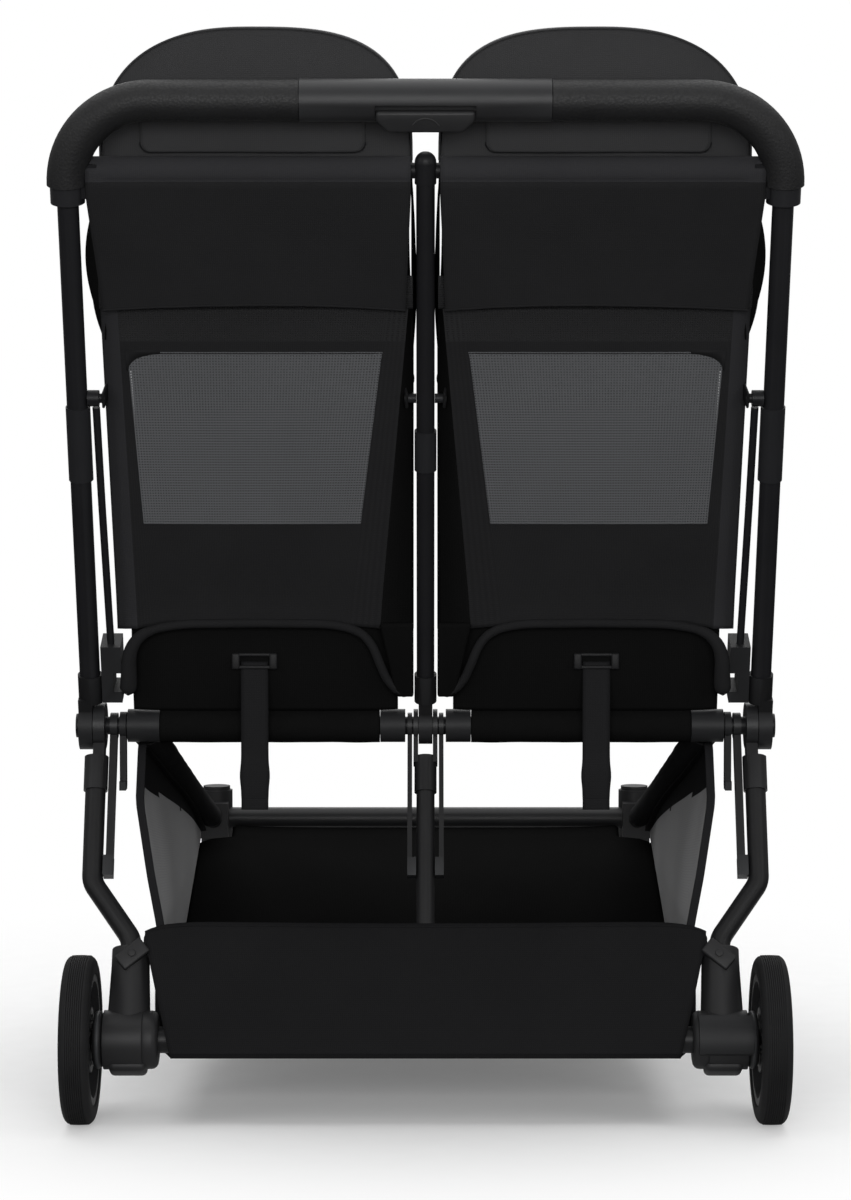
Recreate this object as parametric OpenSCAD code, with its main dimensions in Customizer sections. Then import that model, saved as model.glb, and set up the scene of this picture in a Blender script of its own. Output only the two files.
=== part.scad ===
// Side by side double stroller: two seats on one folding frame, four wheels.
// Left is the left of someone behind the handlebar, who looks along +Y.

/* [Frame] */
// height of the cross axle that the handle and the rear legs turn on
axle_z = 406; // [380:1:430]
// distance of that axle behind the middle
axle_y = -190; // [-210:1:-170]
// backward lean of the handle frame in degrees
lean = 21; // [15:0.5:27]
// backward lean of the rear legs in degrees
leg_lean = 23.8; // [18:0.2:28]
// half distance between the two handle posts
post_x = 362; // [340:1:380]
// handle post diameter
post_d = 22; // [18:0.5:28]
// cross axle diameter
axle_d = 19.5; // [16:0.5:24]
// length of the handle frame from the axle to the handlebar
handle_len = 698; // [640:1:740]
// bend radius of the handlebar
bar_bend = 87; // [60:1:110]
// grip diameter
grip_d = 41; // [32:0.5:46]
// half length of the centre housing of the handlebar
housing_x = 126; // [90:1:160]

/* [Wheels] */
// rear wheel radius
rear_r = 88.5; // [75:0.5:100]
// rear tyre width
rear_w = 34; // [28:1:42]
// half track of the rear wheels
rear_x = 362; // [350:1:375]
// front wheel radius
front_r = 72; // [60:0.5:85]
// front tyre width
front_w = 28; // [22:1:36]
// half distance of the swivel axes
caster_x = 266; // [240:1:290]
// swivel axis in front of the middle
caster_y = 420; // [400:1:430]
// trail of the front wheels
trail = 30; // [20:1:40]

/* [Seats] */
// middle of each seat from the centre line
seat_x = 177; // [165:1:185]
// half width of the canopy
hood_a = 163; // [150:1:164]
// height of the canopy pivot along the handle
hood_s = 380; // [340:1:420]
// canopy radius over the middle of the seat
hood_r = 383; // [360:1:420]
// lower end of the seat back along the handle
back_s0 = 104; // [102:1:120]
// upper end of the seat back along the handle
back_s1 = 476; // [440:1:476]

/* [Basket] */
// half width of the basket
basket_x = 286; // [270:1:287]
// fabric thickness
cloth = 3; // [2:0.5:5]

/* [Hidden] */
$fn = 48;
axle_r = axle_d / 2;
post_r = post_d / 2;
grip_r = grip_d / 2;
leg_x = 356;
leg_t = sqrt(pow(330 + axle_y, 2) + pow(axle_z - rear_r, 2));
wheel_y = caster_y - trail;
bar_y = 4;
bar_s = handle_len - 74;
post_top = handle_len - 104.5;
rear_tilt = 13;
hood_b = (bar_s - hood_s) / cos(lean - rear_tilt);
hood_h = hood_r - hood_b;
front_z = 2 * front_r + 84;
front_leg_x = 311.6;
front_drop = axle_z - front_z + 2;
front_run = caster_y - 20 - axle_y;
front_a = atan2(front_drop, front_run);
front_len = norm([front_drop, front_run]) - 4.8;
front_in = asin((front_leg_x - caster_x - 1.8) / front_len);

// Helpers: frames, rods and bent tubes
module on_handle() translate([0, axle_y, axle_z]) rotate([lean, 0, 0]) children();
module on_leg() translate([0, axle_y, axle_z]) rotate([-leg_lean, 0, 0]) children();
module on_front() translate([0, axle_y, axle_z]) rotate([-front_a, 0, 0]) children();
module left() mirror([1, 0, 0]) children();
module both() {
  children();
  mirror([1, 0, 0]) children();
}
module xrod(x0, x1, r) translate([x0, 0, 0]) rotate([0, 90, 0]) cylinder(r = r, h = x1 - x0);
module zrod(z0, z1, r) translate([0, 0, z0]) cylinder(r = r, h = z1 - z0);
module yrod(y0, y1, r) translate([0, y0, 0]) rotate([-90, 0, 0]) cylinder(r = r, h = y1 - y0);

function unit(v) = v / norm(v);
function corner_half(p, i) =
  acos(unit(p[i - 1] - p[i]) * unit(p[i + 1] - p[i])) / 2;
function corner_len(p, i, br) =
  i == 0 || i == len(p) - 1 ? 0 : br / tan(corner_half(p, i));

module bend(p, i, br, r, ri) {
  d1 = unit(p[i - 1] - p[i]);
  d2 = unit(p[i + 1] - p[i]);
  h = corner_half(p, i);
  c = p[i] + unit(d1 + d2) * br / sin(h);
  t1 = p[i] + d1 * br / tan(h) - c;
  t2 = p[i] + d2 * br / tan(h) - c;
  turn = t1[0] * t2[1] - t1[1] * t2[0];
  a = turn > 0 ? atan2(t1[1], t1[0]) : atan2(t2[1], t2[0]);
  translate([c[0], c[1], 0]) rotate([0, 0, a]) rotate_extrude(angle = 180 - 2 * h)
    translate([br, 0]) disc(r + 0.08, ri > 0 ? ri + 0.08 : 0);
}

module disc(r, ri) {
  if (ri > 0) difference() {
    circle(r = r);
    circle(r = ri);
  }
  else circle(r = r);
}

// a tube along corner points [x, z] in the plane y = 0, hollow if ri is over 0
module bent(p, br, r, ri = 0) rotate([90, 0, 0]) {
  for (i = [0 : len(p) - 2]) {
    d = unit(p[i + 1] - p[i]);
    a = p[i] + d * (i == 0 ? 0 : corner_len(p, i, br) - 1);
    b = p[i + 1] - d * (i == len(p) - 2 ? 0 : corner_len(p, i + 1, br) - 1);
    translate([a[0], a[1], 0]) rotate([0, 0, atan2(d[1], d[0])])
      rotate([0, 90, 0]) linear_extrude(norm(b - a)) disc(r, ri);
  }
  for (i = [1 : len(p) - 2]) bend(p, i, br, r, ri);
}

// a quilted pad: x from -w0 to w0 at z = 0 and -w1 to w1 at z = l, thickness along y
module pad(w0, w1, l, front, back, edge, n) {
  m = n + 1;
  function e(u) = pow(max(0, 1 - pow(abs(u), 5)), 0.6);
  function at(i, j, side) =
    let (u = 2 * i / n - 1, v = 2 * j / n - 1, w = w0 + (w1 - w0) * j / n, k = e(u) * e(v))
    [u * w, side > 0 ? edge / 2 + front * k : -edge / 2 - back * k, l * j / n];
  pts = concat([for (j = [0 : n]) for (i = [0 : n]) at(i, j, 1)],
    [for (j = [0 : n]) for (i = [0 : n]) at(i, j, -1)]);
  f = m * m;
  function q(a, b, c, d) = [[a, c, b], [a, d, c]];
  faces = concat(
    [for (j = [0 : n - 1]) for (i = [0 : n - 1])
      each q(j * m + i, (j + 1) * m + i, (j + 1) * m + i + 1, j * m + i + 1)],
    [for (j = [0 : n - 1]) for (i = [0 : n - 1])
      each q(f + j * m + i, f + j * m + i + 1, f + (j + 1) * m + i + 1, f + (j + 1) * m + i)],
    [for (i = [0 : n - 1]) each q(i, i + 1, f + i + 1, f + i)],
    [for (i = [0 : n - 1]) each q(n * m + i + 1, n * m + i, f + n * m + i, f + n * m + i + 1)],
    [for (j = [0 : n - 1]) each q((j + 1) * m, j * m, f + j * m, f + (j + 1) * m)],
    [for (j = [0 : n - 1]) each q(j * m + n, (j + 1) * m + n, f + (j + 1) * m + n, f + j * m + n)]);
  polyhedron(pts, faces);
}

// Front frame: axle, knuckles, legs, crossbar and swivel housings
module on_seat() translate([0, axle_y, axle_z]) rotate([8, 0, 0]) children();
module at_axle() translate([0, axle_y, axle_z]) children();
module leg_line(y0, y1, r) on_front() translate([front_leg_x, 0, 0]) rotate([0, 0, front_in])
  yrod(y0, y1, r);
module seat_tube(y0, r) on_seat() rotate([-90, 0, 0])
  bent([[294.5, y0], [294.5, 322], [41, 322], [41, y0]], 40, r);

module main_axle() color("#55585c") {
  at_axle() xrod(-post_x - 14, post_x + 14, axle_r);
  at_axle() both() xrod(post_x + 14, post_x + 17, 13);
}

module seat_knuckles() color("#3f4144") both() {
  difference() {
    at_axle() xrod(288, 323, 18);
    at_axle() xrod(280, 330, axle_r);
    leg_line(13, 60, 11);
    on_seat() translate([294.5, 0, 0]) yrod(13, 60, 6);
  }
  difference() {
    at_axle() xrod(22, 49, 18);
    at_axle() xrod(20, 51, axle_r);
    on_seat() translate([41, 0, 0]) yrod(13, 60, 6);
  }
}

module axle_sleeves() color("#2b2c2e") at_axle() both() difference() {
  xrod(49.5, 287.5, 18.5);
  xrod(40, 300, axle_r);
}

module front_legs() color("#4c4f53") both() leg_line(13, front_len, 11);

module front_crossbar() color("#3a3c3f") translate([0, caster_y - 6, front_z])
  xrod(13 - caster_x, caster_x - 13, 14);

module caster_housings() color("#2f3133") both() difference() {
  union() {
    translate([caster_x, caster_y, 0]) zrod(front_z - 38, front_z + 36, 20);
    translate([caster_x, caster_y, 0]) zrod(front_z + 36, front_z + 41, 17);
    translate([caster_x - 16, caster_y - 36, front_z - 22]) cube([36, 36, 44]);
  }
  translate([caster_x, caster_y, 0]) zrod(front_z - 48, front_z + 24, 8.1);
  translate([0, caster_y - 6, front_z]) xrod(caster_x - 66, caster_x - 13, 14);
  leg_line(front_len - 52, front_len, 11);
}

// Seats: tubular frames, cushions, harness, leg rests and hung straps
module seat_frames() color("#4c4f53") both() difference() {
  union() {
    seat_tube(13, 6);
    for (x = [84, 243]) on_seat() translate([x, 0, 0]) {
      translate([0, 320, -12]) cube([8, 22, 10]);
      translate([0, 342, -12]) xrod(0, 8, 6);
    }
  }
  on_seat() translate([0, 342, -12]) xrod(80, 260, 3.05);
}

module seat_cushion() color("#303134") {
  on_seat() translate([seat_x - 9, 30, 11.7]) rotate([-90, 0, 0])
    pad(136, 136, 300, 2, 14, 8, 14);
  at_axle() translate([44, 0, 0]) rotate([lean - 6, 0, 0]) translate([0, -4, 19])
    cube([258, 6, 75]);
}

module lap_harness() color("#1f2022") {
  on_seat() translate([seat_x - 9 - 110, 120, 30]) cube([220, 36, 2]);
  on_seat() translate([seat_x - 9 - 14, 160, 30]) cube([28, 40, 2]);
}

module buckle() color("#26272a") difference() {
  on_seat() translate([seat_x - 9 - 25, 165, 32.3]) cube([50, 40, 16]);
  on_seat() translate([seat_x - 9, 185, 0]) zrod(40, 60, 9.1);
}

module buckle_button() color("#6a6d70") on_seat() translate([seat_x - 9, 185, 0])
  zrod(43, 49.4, 9.03);

module fold_latches() color("#26272a") at_axle() both() difference() {
  union() {
    xrod(324.5, 331.5, 15);
    translate([324.5, -11, -66]) cube([7, 14, 60]);
    translate([324.5, -19, -69]) cube([7, 20, 10]);
  }
  xrod(320, 340, axle_r + 0.08);
}

module leg_rest() color("#303134") on_seat() translate([0, 342, -12]) {
  difference() {
    union() {
      xrod(92.4, 242.6, 7);
      rotate([-143, 0, 0]) translate([100, -3, 0]) cube([136, 6, 9.4]);
    }
    xrod(90, 250, 3.05);
  }
  xrod(85, 250, 3);
  rotate([-143, 0, 0]) translate([seat_x - 9, 0, 9.6]) pad(112, 104, 118, 4, 4, 8, 8);
}

module recline_straps() color("#242527") both() translate([184, 0, 0]) {
  translate([-13, -220.7, 318]) cube([26, 1.6, 158]);
  translate([-13, -222, 318]) cube([26, 4, 10]);
  difference() {
    translate([-21, -223.2, 470]) cube([42, 7, 16]);
    translate([-15, -221.2, 460]) cube([30, 2.6, 40]);
  }
}

// Swivel castors with their forks and wheels
module on_caster() translate([caster_x, caster_y, 0]) children();

module caster_fork() color("#2a2b2d") on_caster() {
  zrod(front_z - 58, front_z + 18, 8);
  zrod(front_z - 58, front_z - 38.5, 15);
  for (x = [-22, 17]) translate([x, 0, 0]) rotate([90, 0, 90]) linear_extrude(5)
    polygon([[18, front_z - 49], [-18, front_z - 49], [-trail - 14, front_r + 2],
      [-trail - 9, front_r - 11], [-trail + 9, front_r - 11], [-trail + 15, front_r + 4]]);
  translate([-20, -16, front_z - 76]) cube([40, 32, 25]);
  translate([0, -trail, front_r]) xrod(-23, 23, 5);
}

module ring(r0, r1, w, round) rotate([0, 90, 0]) rotate_extrude($fn = 72) {
  translate([r0, -w / 2]) square([r1 - r0 - round, w]);
  translate([r0, -w / 2 + round]) square([r1 - r0, w - 2 * round]);
  for (z = [-1, 1]) translate([r1 - round, z * (w / 2 - round)]) circle(r = round);
}

module front_tyre() color("#1b1b1c") translate([caster_x, wheel_y, front_r])
  ring(front_r - 16, front_r, front_w, 8);

module front_rim() color("#3b3d40") translate([caster_x, wheel_y, front_r]) difference() {
  union() {
    ring(front_r - 23, front_r - 16.3, 24, 0.5);
    xrod(-15.5, 15.5, 14);
    for (a = [0 : 72 : 359]) rotate([a, 0, 0]) translate([-6, -6, 10])
      cube([12, 12, front_r - 30]);
  }
  xrod(-20, 20, 5.08);
}

// Rear frame: bent legs, braces, crossbars, shoes, brake and wheels
module rear_legs() color("#4c4f53") both() on_leg() {
  bent([[leg_x, -50], [leg_x, -176], [312, -239], [312, -292]], 26, 11);
  difference() {
    union() {
      xrod(347, 359.4, 25);
      translate([347, -10, -44]) cube([12.4, 20, 44]);
      translate([leg_x, 0, 0]) zrod(-74, -36, 13);
    }
    xrod(340, 370, axle_r + 0.08);
    translate([leg_x, 0, 0]) zrod(-80, -49.9, 11.05);
  }
}

module center_leg() color("#4c4f53") difference() {
  union() {
    on_leg() zrod(-244, -36, 9.8);
    on_leg() zrod(-76, -36, 12);
    for (x = [-13, 8]) on_leg() translate([x, 0, 0]) {
      xrod(0, 5, 18);
      translate([0, -9, -44]) cube([5, 18, 44]);
    }
    on_leg() translate([0, 0, -247]) xrod(-16, 16, 13);
  }
  on_leg() xrod(-20, 20, axle_r + 0.08);
  on_leg() translate([0, 0, -247]) xrod(-20, 20, 10);
}

module leg_braces() color("#333538") on_leg() both() {
  difference() {
    union() {
      xrod(334, 342, 14);
      translate([334, -6, -166]) cube([8, 12, 160]);
      translate([334, -9, -170]) cube([10.7, 18, 22]);
    }
    xrod(330, 350, axle_r + 0.08);
  }
  difference() {
    union() {
      xrod(14.5, 19.5, 14);
      translate([14.5, -6, -166]) cube([5, 12, 160]);
      translate([10.1, -7, -170]) cube([9.4, 14, 20]);
    }
    xrod(10, 30, axle_r + 0.08);
    zrod(-180, -140, 9.8);
  }
}

module rear_crossbar() color("#3a3c3f") on_leg() translate([0, 0, -247]) xrod(-291, 291, 10);

module axle_tube() color("#3a3c3f") on_leg() translate([0, 0, -leg_t]) xrod(-286, 286, 14);

module shoe_body() on_leg() {
  translate([312, 0, -leg_t]) cylinder(r1 = 23.5, r2 = 19.5, h = leg_t - 249);
  translate([0, 0, -leg_t]) xrod(280, 348, 31);
  translate([0, 0, -leg_t]) xrod(338, 377.5, 6);
  translate([282, -12, -260]) cube([16, 24, 25]);
}

module shoe_cuts() on_leg() {
  translate([312, 0, 0]) zrod(-292.05, -240, 11.05);
  translate([0, 0, -leg_t]) xrod(270, 286, 14);
  translate([0, 0, -247]) xrod(270, 291, 10);
  translate([0, 0, 24 - leg_t]) xrod(325, 352, 3.6);
}

module leg_shoe() color("#2b2d2f") difference() {
  shoe_body();
  shoe_cuts();
}

module brake_pin() color("#8a8d90") on_leg() translate([0, 0, 24 - leg_t]) xrod(331, 349, 3.52);

module brake_pedal() color("#232426") on_leg() translate([0, 0, -leg_t]) difference() {
  intersection() {
    xrod(285, 341, 39);
    translate([280, -60, -22]) cube([70, 60, 40]);
  }
  xrod(280, 350, 31.1);
}

module rear_tyre() color("#1b1b1c") translate([rear_x, -330, rear_r])
  ring(rear_r - 19.5, rear_r, rear_w, 9.4);

module rear_rim() color("#3b3d40") translate([0, -330, rear_r]) difference() {
  union() {
    translate([rear_x, 0, 0]) ring(rear_r - 27.5, rear_r - 19.8, 28, 0.5);
    xrod(350.5, 375, 34);
    for (a = [0 : 60 : 359]) rotate([a, 0, 0]) translate([355, -8, 30])
      cube([14, 16, rear_r - 54.5]);
  }
  xrod(340, 380, 6.08);
  for (a = [0 : 30 : 359]) rotate([a - leg_lean, 0, 0]) translate([0, 0, 24]) xrod(345, 360, 4.2);
}

module basket() color("#2b2c2e") {
  floor_line = [[-296, rear_r - 19.5], [-100, 82], [0, 98], [103, 132], [200, 158],
    [caster_y - 99, front_z - 38], [caster_y - 38, front_z - 21]];
  side = concat([[-296, rear_r - 19.5], [-296, 128], [-268, 194], [-255, 252], [-176, 376],
      [caster_y - 38, front_z - 16]],
    [for (i = [6 : -1 : 1]) floor_line[i]]);
  for (x = [-basket_x, basket_x - cloth]) translate([x, 0, 0]) rotate([90, 0, 90])
    linear_extrude(cloth) polygon(side);
  translate([-basket_x, 0, 0]) rotate([90, 0, 90]) linear_extrude(2 * basket_x)
    polygon(concat(floor_line, [for (i = [6 : -1 : 0]) floor_line[i] + [0, cloth]]));
  translate([-274, 0, 0]) rotate([90, 0, 90]) linear_extrude(548)
    translate([-356.6, rear_r - 19.9]) square([66.6, cloth]);
  on_leg() translate([0, -15.4, 0]) rotate([90, 0, 0]) linear_extrude(cloth)
    polygon([[-274, -leg_t - 30.5], [274, -leg_t - 30.5], [288, -228], [280, -222], [-280, -222],
      [-288, -228]]);
}

// Handle frame: posts, hubs, brackets, rails, top bar and handlebar
module grip_path(s0, r, ri = 0) bent([[post_x, s0], [post_x, handle_len],
  [housing_x + 0.6, handle_len]], bar_bend, r, ri);

module handle_posts() color("#4c4f53") both() on_handle() translate([post_x, 0, 0])
  zrod(34.5, post_top, post_r);

module center_post() color("#4c4f53") on_handle() difference() {
  union() {
    zrod(34.5, bar_s - 10, 9.5);
    zrod(bar_s - 12, bar_s + 10, 11);
    translate([0, 0, bar_s + 10]) sphere(r = 11);
  }
  translate([0, bar_y, bar_s]) xrod(-20, 20, 8);
}

module handle_hubs() color("#2f3133") {
  both() difference() {
    on_handle() union() {
      xrod(post_x - 2, post_x + 13, 26);
      translate([post_x - 2, -13, 0]) cube([15, 26, 36]);
      translate([post_x, 0, 0]) zrod(30, 62, 13.2);
    }
    on_handle() xrod(post_x - 12, post_x + 18, axle_r + 0.08);
    on_handle() translate([post_x, 0, 0]) zrod(34.5, 80, post_r);
  }
  difference() {
    on_handle() union() {
      xrod(-7.5, 7.5, 20);
      translate([-7.5, -10, 0]) cube([15, 20, 36]);
      zrod(30, 62, 12);
    }
    on_handle() xrod(-20, 20, axle_r + 0.08);
    on_handle() zrod(34.5, 80, 9.5);
  }
}

module post_splices() color("#2f3133") on_handle() {
  both() difference() {
    translate([post_x - 0.5, 0, 0]) zrod(hood_s - 91, hood_s - 9.4, 12.9);
    translate([post_x, 0, 0]) zrod(hood_s - 100, hood_s, post_r);
  }
  difference() {
    zrod(hood_s - 80, hood_s - 36, 11.5);
    zrod(hood_s - 90, hood_s - 30, 9.5);
  }
}

module side_brackets() color("#26272a") on_handle() both() difference() {
  translate([327, -11, 33]) cube([21.6, 36, 66]);
  translate([320, -20, 46]) cube([16, 60, 22]);
  translate([338, 0, 83]) yrod(3, 40, 8);
}

module seat_rails() color("#4c4f53") on_handle() both() {
  bent([[338, 99.2], [341, 260], [342.5, 370]], 200, 4);
  translate([0, 0, hood_s]) xrod(332.5, 350.9, 5);
  translate([0, 0, hood_s]) xrod(339, 350.9, 8.6);
  translate([0, 0, hood_s]) xrod(9.6, 21.6, 5);
}

module top_bar() color("#3a3c3f") on_handle() {
  both() difference() {
    union() {
      translate([post_x, 0, 0]) zrod(post_top - 1.5, post_top + 17.5, 17.5);
      translate([post_x - 31, -9, bar_s - 26]) cube([26, 22, 36]);
    }
    translate([post_x, 0, 0]) zrod(post_top - 4, post_top + 20, post_r);
    grip_path(post_top + 17.5, grip_r + 0.4);
  }
  difference() {
    translate([0, bar_y, bar_s]) xrod(17 - post_x, post_x - 17, 8);
    both() grip_path(post_top, grip_r + 0.4);
  }
}

module back_flaps() color("#36373a") on_handle() both() difference() {
  union() {
    translate([14.5, bar_y, bar_s]) xrod(0, 316, 13.5);
    translate([14.5, -9, back_s1 + 3]) cube([316, 3.5, bar_s - back_s1 - 3]);
  }
  translate([0, bar_y, bar_s]) xrod(0, 345, 8);
}

module handlebar_core() color("#4c4f53") on_handle()
  bent([[-post_x, post_top + 0.5], [-post_x, handle_len], [post_x, handle_len],
    [post_x, post_top + 0.5]], bar_bend, post_r);

module grips() color("#1f2022") on_handle() both() grip_path(post_top + 18, grip_r, post_r + 0.05);

module handlebar_housing() color("#54565a") on_handle() difference() {
  translate([0, 0, handle_len]) xrod(-housing_x, housing_x, 21.5);
  translate([0, 0, handle_len]) xrod(-housing_x - 1, housing_x + 1, post_r);
  translate([-50.6, -30, handle_len - 38]) cube([101.2, 18.2, 38.4]);
  translate([-38.6, -14, handle_len - 38]) cube([77.2, 22.6, 26.4]);
}

module fold_trigger() color("#47494c") on_handle() translate([0, 0, handle_len - 30]) {
  translate([0, -12.2, 0]) rotate([90, 0, 0]) linear_extrude(11.8)
    polygon([[-38, 0], [38, 0], [50, 12], [50, 24], [-50, 24], [-50, 12]]);
  translate([-38, -13, 0]) cube([76, 21, 13]);
}

// Canopies: fixed rear shells, sliding hoods and window flaps
module on_hood(phi) on_handle() translate([seat_x, 0, hood_s]) rotate([-lean - phi, 0, 0]) children();
function arch(a, r, rb, n) = concat([[a, 62], [a, 0.6 * rb]],
  [for (i = [0 : n]) let (t = 180 * i / n, c = cos(t), s = sin(t), e = 2 / 2.8)
    [a * sign(c) * pow(abs(c), e), rb + (r - rb) * pow(abs(s), e)]], [[-a, 0.6 * rb], [-a, 62]]);

module shell(a, r, rb, f0, f1, n, k) {
  out = arch(a, r, rb, n);
  inn = arch(a - cloth, r - cloth, rb, n);
  m = len(out);
  function turn(p, f) = [p[0], p[1] * sin(f), p[1] * cos(f)];
  pts = concat([for (j = [0 : k]) for (p = out) turn(p, f0 + (f1 - f0) * j / k)],
    [for (j = [0 : k]) for (p = inn) turn(p, f0 + (f1 - f0) * j / k)]);
  g = m * (k + 1);
  function q(a, b, c, d) = [[a, b, c], [a, c, d]];
  faces = concat(
    [for (j = [0 : k - 1]) for (i = [0 : m - 2])
      each q(j * m + i, j * m + i + 1, (j + 1) * m + i + 1, (j + 1) * m + i)],
    [for (j = [0 : k - 1]) for (i = [0 : m - 2])
      each q(g + j * m + i, g + (j + 1) * m + i, g + (j + 1) * m + i + 1, g + j * m + i + 1)],
    [for (i = [0 : m - 2]) each q(i, g + i, g + i + 1, i + 1)],
    [for (i = [0 : m - 2]) each q(k * m + i, k * m + i + 1, g + k * m + i + 1, g + k * m + i)],
    [for (j = [0 : k - 1]) each q(j * m, (j + 1) * m, g + (j + 1) * m, g + j * m)],
    [for (j = [0 : k - 1]) each q(j * m + m - 1, g + j * m + m - 1, g + (j + 1) * m + m - 1,
      (j + 1) * m + m - 1)]);
  polyhedron(pts, faces);
}

module canopy_rear() color("#333437") {
  on_hood(0) shell(hood_a, hood_r, hood_b + 4, -rear_tilt, 36, 24, 7);
  on_hood(-rear_tilt) translate([0, 3.6, 0]) rotate([90, 0, 0]) linear_extrude(3)
    polygon(concat([[hood_a - 3.6, hood_b]],
      [for (p = arch(hood_a - 3.6, hood_r - 3.6, hood_b + 4, 24)) if (p[1] > hood_b - 1) p],
      [[3.6 - hood_a, hood_b]]));
  on_handle() translate([18, bar_y + 13.8, bar_s - 2])
    cube([318, hood_b * sin(lean - rear_tilt) + 1.5 - bar_y - 13.8, 3]);
}

module canopy_hood() color("#333437") {
  on_hood(0) shell(hood_a - 4, hood_r - 4, hood_b + 1, 31, 82, 24, 7);
  for (x = [4 - hood_a, hood_a - 4 - cloth]) difference() {
    on_hood(58) translate([x, -9, 0]) cube([cloth, 18, 80]);
    on_hood(58) xrod(-200, 200, 5.2);
  }
}

module peek_flaps() color("#3a3b3e") both() on_hood(-rear_tilt)
  translate([-113, -2.5, hood_b + 0.09 * hood_h]) cube([226, 2.8, 0.52 * hood_h]);

// Seat backs and shoulder straps
module seat_back() color("#2d2e31") on_handle() translate([0, 5, back_s0]) translate([177, 0, 0])
  pad(146, 158, back_s1 - back_s0, 8, 2, 8, 14);

module shoulder_harness() color("#1f2022") on_handle() for (x = [-52, 26])
  translate([seat_x + x, 17.4, 150]) cube([26, 2, 250]);

main_axle();
seat_knuckles();
axle_sleeves();
front_legs();
front_crossbar();
caster_housings();
seat_frames();
left() seat_cushion();  // seat_cushion_left
seat_cushion();  // seat_cushion_right
both() lap_harness();  // lap_harnesses
both() buckle();  // buckles
left() buckle_button();  // buckle_button_left
buckle_button();  // buckle_button_right
fold_latches();
left() leg_rest();  // leg_rest_left
leg_rest();  // leg_rest_right
recline_straps();
left() caster_fork();  // caster_fork_left
caster_fork();  // caster_fork_right
left() front_tyre();  // front_tyre_left
front_tyre();  // front_tyre_right
left() front_rim();  // front_rim_left
front_rim();  // front_rim_right
rear_legs();
center_leg();
leg_braces();
rear_crossbar();
axle_tube();
left() leg_shoe();  // leg_shoe_left
leg_shoe();  // leg_shoe_right
basket();
brake_pedal();
left() brake_pin();  // brake_pin_left
brake_pin();  // brake_pin_right
left() rear_tyre();  // rear_tyre_left
rear_tyre();  // rear_tyre_right
left() rear_rim();  // rear_rim_left
rear_rim();  // rear_rim_right
handle_posts();
center_post();
handle_hubs();
post_splices();
side_brackets();
seat_rails();
top_bar();
back_flaps();
handlebar_core();
grips();
handlebar_housing();
fold_trigger();
left() canopy_rear();  // canopy_rear_left
canopy_rear();  // canopy_rear_right
left() canopy_hood();  // canopy_hood_left
canopy_hood();  // canopy_hood_right
peek_flaps();
left() seat_back();  // seat_back_left
seat_back();  // seat_back_right
left() shoulder_harness();  // shoulder_harness_left
shoulder_harness();  // shoulder_harness_right
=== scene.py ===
"""Side by side double stroller: the looks of each piece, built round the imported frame."""
import math

import bmesh
import bpy
from mathutils import Matrix, Vector, noise


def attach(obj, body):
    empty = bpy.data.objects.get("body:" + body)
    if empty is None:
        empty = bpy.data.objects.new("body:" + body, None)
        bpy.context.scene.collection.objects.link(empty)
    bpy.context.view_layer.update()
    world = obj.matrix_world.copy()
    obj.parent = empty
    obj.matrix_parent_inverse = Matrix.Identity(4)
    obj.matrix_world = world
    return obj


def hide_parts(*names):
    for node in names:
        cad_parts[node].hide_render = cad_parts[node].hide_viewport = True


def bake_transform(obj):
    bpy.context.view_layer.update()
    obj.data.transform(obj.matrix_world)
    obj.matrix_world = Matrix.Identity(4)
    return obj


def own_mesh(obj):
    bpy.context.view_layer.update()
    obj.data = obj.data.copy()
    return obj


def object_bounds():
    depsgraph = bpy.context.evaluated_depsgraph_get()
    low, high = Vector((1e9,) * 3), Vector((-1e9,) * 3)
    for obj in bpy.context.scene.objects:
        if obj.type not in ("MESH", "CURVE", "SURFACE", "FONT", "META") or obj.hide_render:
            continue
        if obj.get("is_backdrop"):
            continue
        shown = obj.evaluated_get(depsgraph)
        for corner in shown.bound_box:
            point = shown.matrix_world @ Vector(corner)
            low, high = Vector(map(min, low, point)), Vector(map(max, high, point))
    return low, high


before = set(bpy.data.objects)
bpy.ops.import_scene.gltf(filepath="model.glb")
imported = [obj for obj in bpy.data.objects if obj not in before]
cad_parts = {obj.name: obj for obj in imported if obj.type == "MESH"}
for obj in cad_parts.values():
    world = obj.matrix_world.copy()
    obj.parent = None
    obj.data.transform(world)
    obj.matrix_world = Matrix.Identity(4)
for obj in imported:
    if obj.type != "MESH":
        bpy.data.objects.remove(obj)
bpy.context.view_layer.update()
scene = bpy.context.scene
scene.view_settings.view_transform = "Standard"
MM = 0.001
SIDES = {"left": -1, "right": 1}

# Camera: a long lens behind the stroller, a little above the seats and tilted down,
# so that the handlebar, the seat backs and the wheels keep their true proportions.
camera_data = bpy.data.cameras.new("camera")
camera_data.lens = 98.4
camera_data.sensor_width = 36
camera = bpy.data.objects.new("camera", camera_data)
camera.location = (0, -3.740, 0.756)
camera.rotation_euler = (math.radians(86.56), 0, 0)
scene.collection.objects.link(camera)
scene.camera = camera

# Studio: a matt white floor that fades into a white surround, one large soft box overhead,
# a weaker one behind the camera and two strips that draw highlights down the tubes.


def linear(colour):
    """An sRGB hex colour as linear red, green, blue and alpha."""
    parts = [int(colour[i:i + 2], 16) / 255 for i in (1, 3, 5)]
    return [p / 12.92 if p <= 0.04045 else ((p + 0.055) / 1.055) ** 2.4 for p in parts] + [1]


def add(tree, kind, inputs=None, **settings):
    """One shader node with its settings, its input values and the links into it."""
    node = tree.nodes.new("ShaderNode" + kind)
    for name, value in settings.items():
        setattr(node, name, value)
    for key, value in (inputs or {}).items():
        if isinstance(value, bpy.types.NodeSocket):
            tree.links.new(value, node.inputs[key])
        else:
            node.inputs[key].default_value = value
    return node


def empty_material(name):
    material = bpy.data.materials.new(name)
    material.use_nodes = True
    material.node_tree.nodes.clear()
    return material, material.node_tree


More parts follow.
